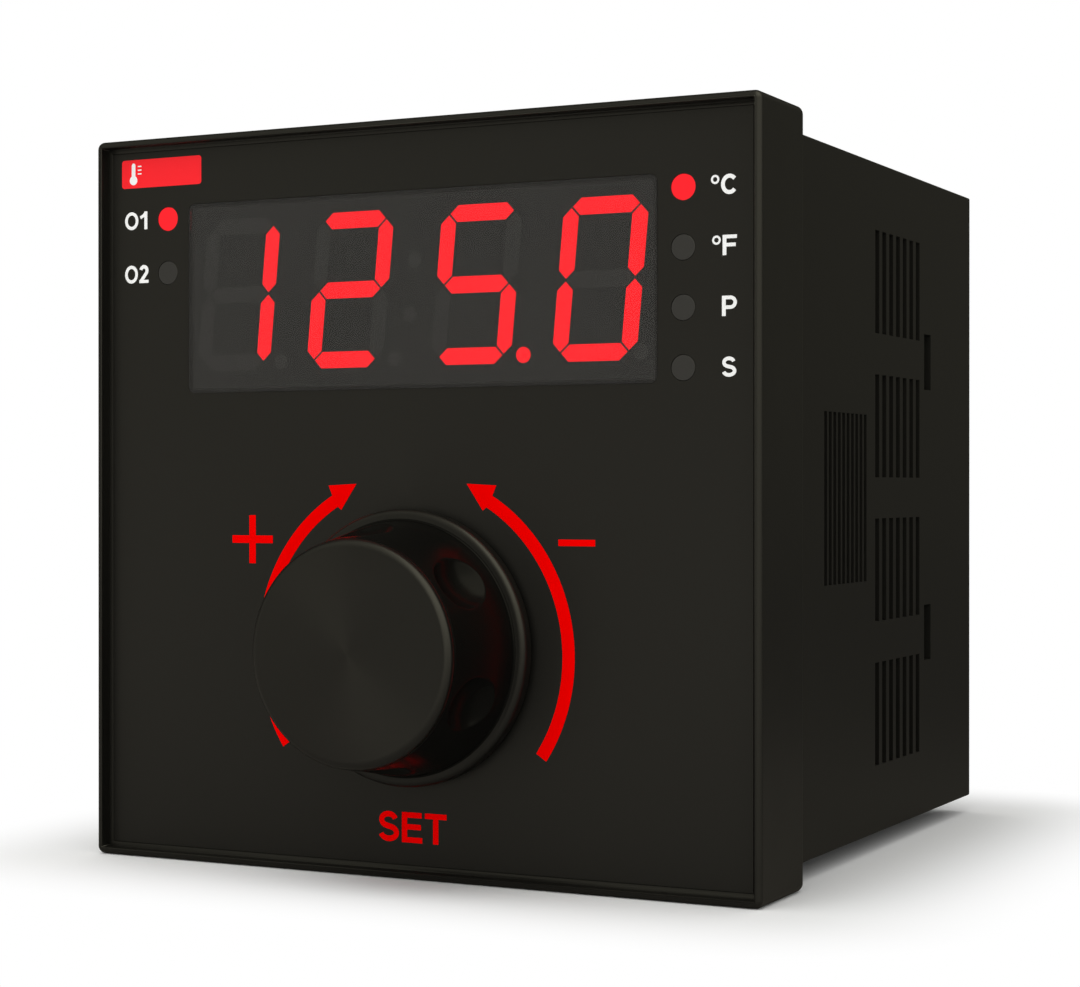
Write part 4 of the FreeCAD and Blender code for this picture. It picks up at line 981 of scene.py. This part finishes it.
floor_mesh.materials.append(floor_paint)
print("floor at", round(cad_low.z / MM, 2), "mm")

# %% [markdown]
# ## The studio
# The room is white where the camera looks past the object. What the gloss of the
# black plastic mirrors is a calmer room: a warm grey in front, darker behind and at
# the far left, so that black stays black. A tall softbox stands at the right of that
# mirrored room, from the horizon up, and is brightest high up. Its reflection runs
# down the rounded edge of the bezel and into the halves of the dimples that face it.
# The light that falls on matt colours comes from all round and from two soft lamps,
# set so that a colour looks as written. Gloss doesn't mirror those lamps.

# %% World
FRONT_GREY, BACK_GREY, OVERHEAD, SOFTBOX = 0.315, 0.09, 0.45, 0.9
HIGH_LAMP, FAR_LEFT, AMBIENT = 0.7, 0.25, 0.76
world = bpy.data.worlds.new("studio")
bpy.context.scene.world = world
world.use_nodes = True
tree = world.node_tree
tree.nodes.clear()
path = add(tree, "ShaderNodeLightPath").outputs
way = add(tree, "ShaderNodeSeparateXYZ",
          {"Vector": add(tree, "ShaderNodeTexCoord").outputs["Generated"]}).outputs


def ramp(value, start, end, low, high):
    """A smooth step of a value, from low to high."""
    return add(tree, "ShaderNodeMapRange", {"Value": value, "From Min": start, "From Max": end,
                                            "To Min": low, "To Max": high},
               interpolation_type="SMOOTHSTEP").outputs["Result"]


def combine(operation, first, second):
    """One sum, product or other operation on two values."""
    return add(tree, "ShaderNodeMath", {0: first, 1: second}, operation=operation).outputs[0]


def across(start, end, low, high):
    """A smooth step over bearings in degrees."""
    return ramp(bearing, math.radians(start), math.radians(end), low, high)


# a bearing of 0 degrees is straight in front of the panel, and 90 is to its right
bearing = combine("ARCTAN2", way["X"], combine("MULTIPLY", way["Y"], -1.0))
wall = combine("MULTIPLY", ramp(way["Y"], -0.6, 1.0, FRONT_GREY, BACK_GREY),
               across(-105, -50, FAR_LEFT, 1.0))
overhead = ramp(way["Z"], 0.25, 0.8, 0.0, OVERHEAD)
side = combine("MULTIPLY", across(4, 20, 0.0, 1.0), across(95, 122, 1.0, 0.0))
raised = ramp(way["Z"], -0.03, 0.1, 0.0, SOFTBOX)
high = ramp(way["Z"], 0.4, 0.6, 0.0, HIGH_LAMP)
glow = combine("ADD", combine("ADD", wall, combine("MULTIPLY", overhead, wall)),
               combine("MULTIPLY", side, combine("ADD", raised, high)))
mirrored = add(tree, "ShaderNodeMix", {"Factor": 1.0, 6: linear("#fbf6da"), 7: glow},
               data_type="RGBA", blend_type="MULTIPLY")
gloss_or_not = add(tree, "ShaderNodeMix", {"Factor": path["Is Glossy Ray"],
                                           6: (AMBIENT, AMBIENT, AMBIENT, 1),
                                           7: mirrored.outputs[2]}, data_type="RGBA")
through = add(tree, "ShaderNodeMath", {0: path["Is Camera Ray"],
                                       1: path["Is Transmission Ray"]}, operation="MAXIMUM")
room = add(tree, "ShaderNodeMix", {"Factor": through.outputs[0], 6: gloss_or_not.outputs[2],
                                   7: (1, 1, 1, 1)}, data_type="RGBA")
background = add(tree, "ShaderNodeBackground", {"Color": room.outputs[2], "Strength": 1.0})
add(tree, "ShaderNodeOutputWorld", {"Surface": background.outputs[0]})
print("ambient level", AMBIENT)

# %% Softboxes
OBJECT_MIDDLE = (0, 0.02, 0)


def softbox(name, place, size, watts):
    """A square area light that faces the middle of the object."""
    data = bpy.data.lights.new(name, "AREA")
    data.shape = "SQUARE"
    data.size = size
    data.energy = watts
    lamp = bpy.data.objects.new(name, data)
    lamp.location = place
    aim = Vector(OBJECT_MIDDLE) - Vector(place)
    lamp.rotation_euler = aim.to_track_quat("-Z", "Y").to_euler()
    lamp.visible_glossy = False
    bpy.context.scene.collection.objects.link(lamp)
    return lamp


lamps = [softbox("softbox above", (-0.1, -0.15, 0.7), 0.6, 1.7),
         softbox("softbox front", (-0.3, -0.95, 0.4), 0.8, 1.8)]
print(len(lamps), "softboxes of", sum(lamp.data.energy for lamp in lamps), "W in all")
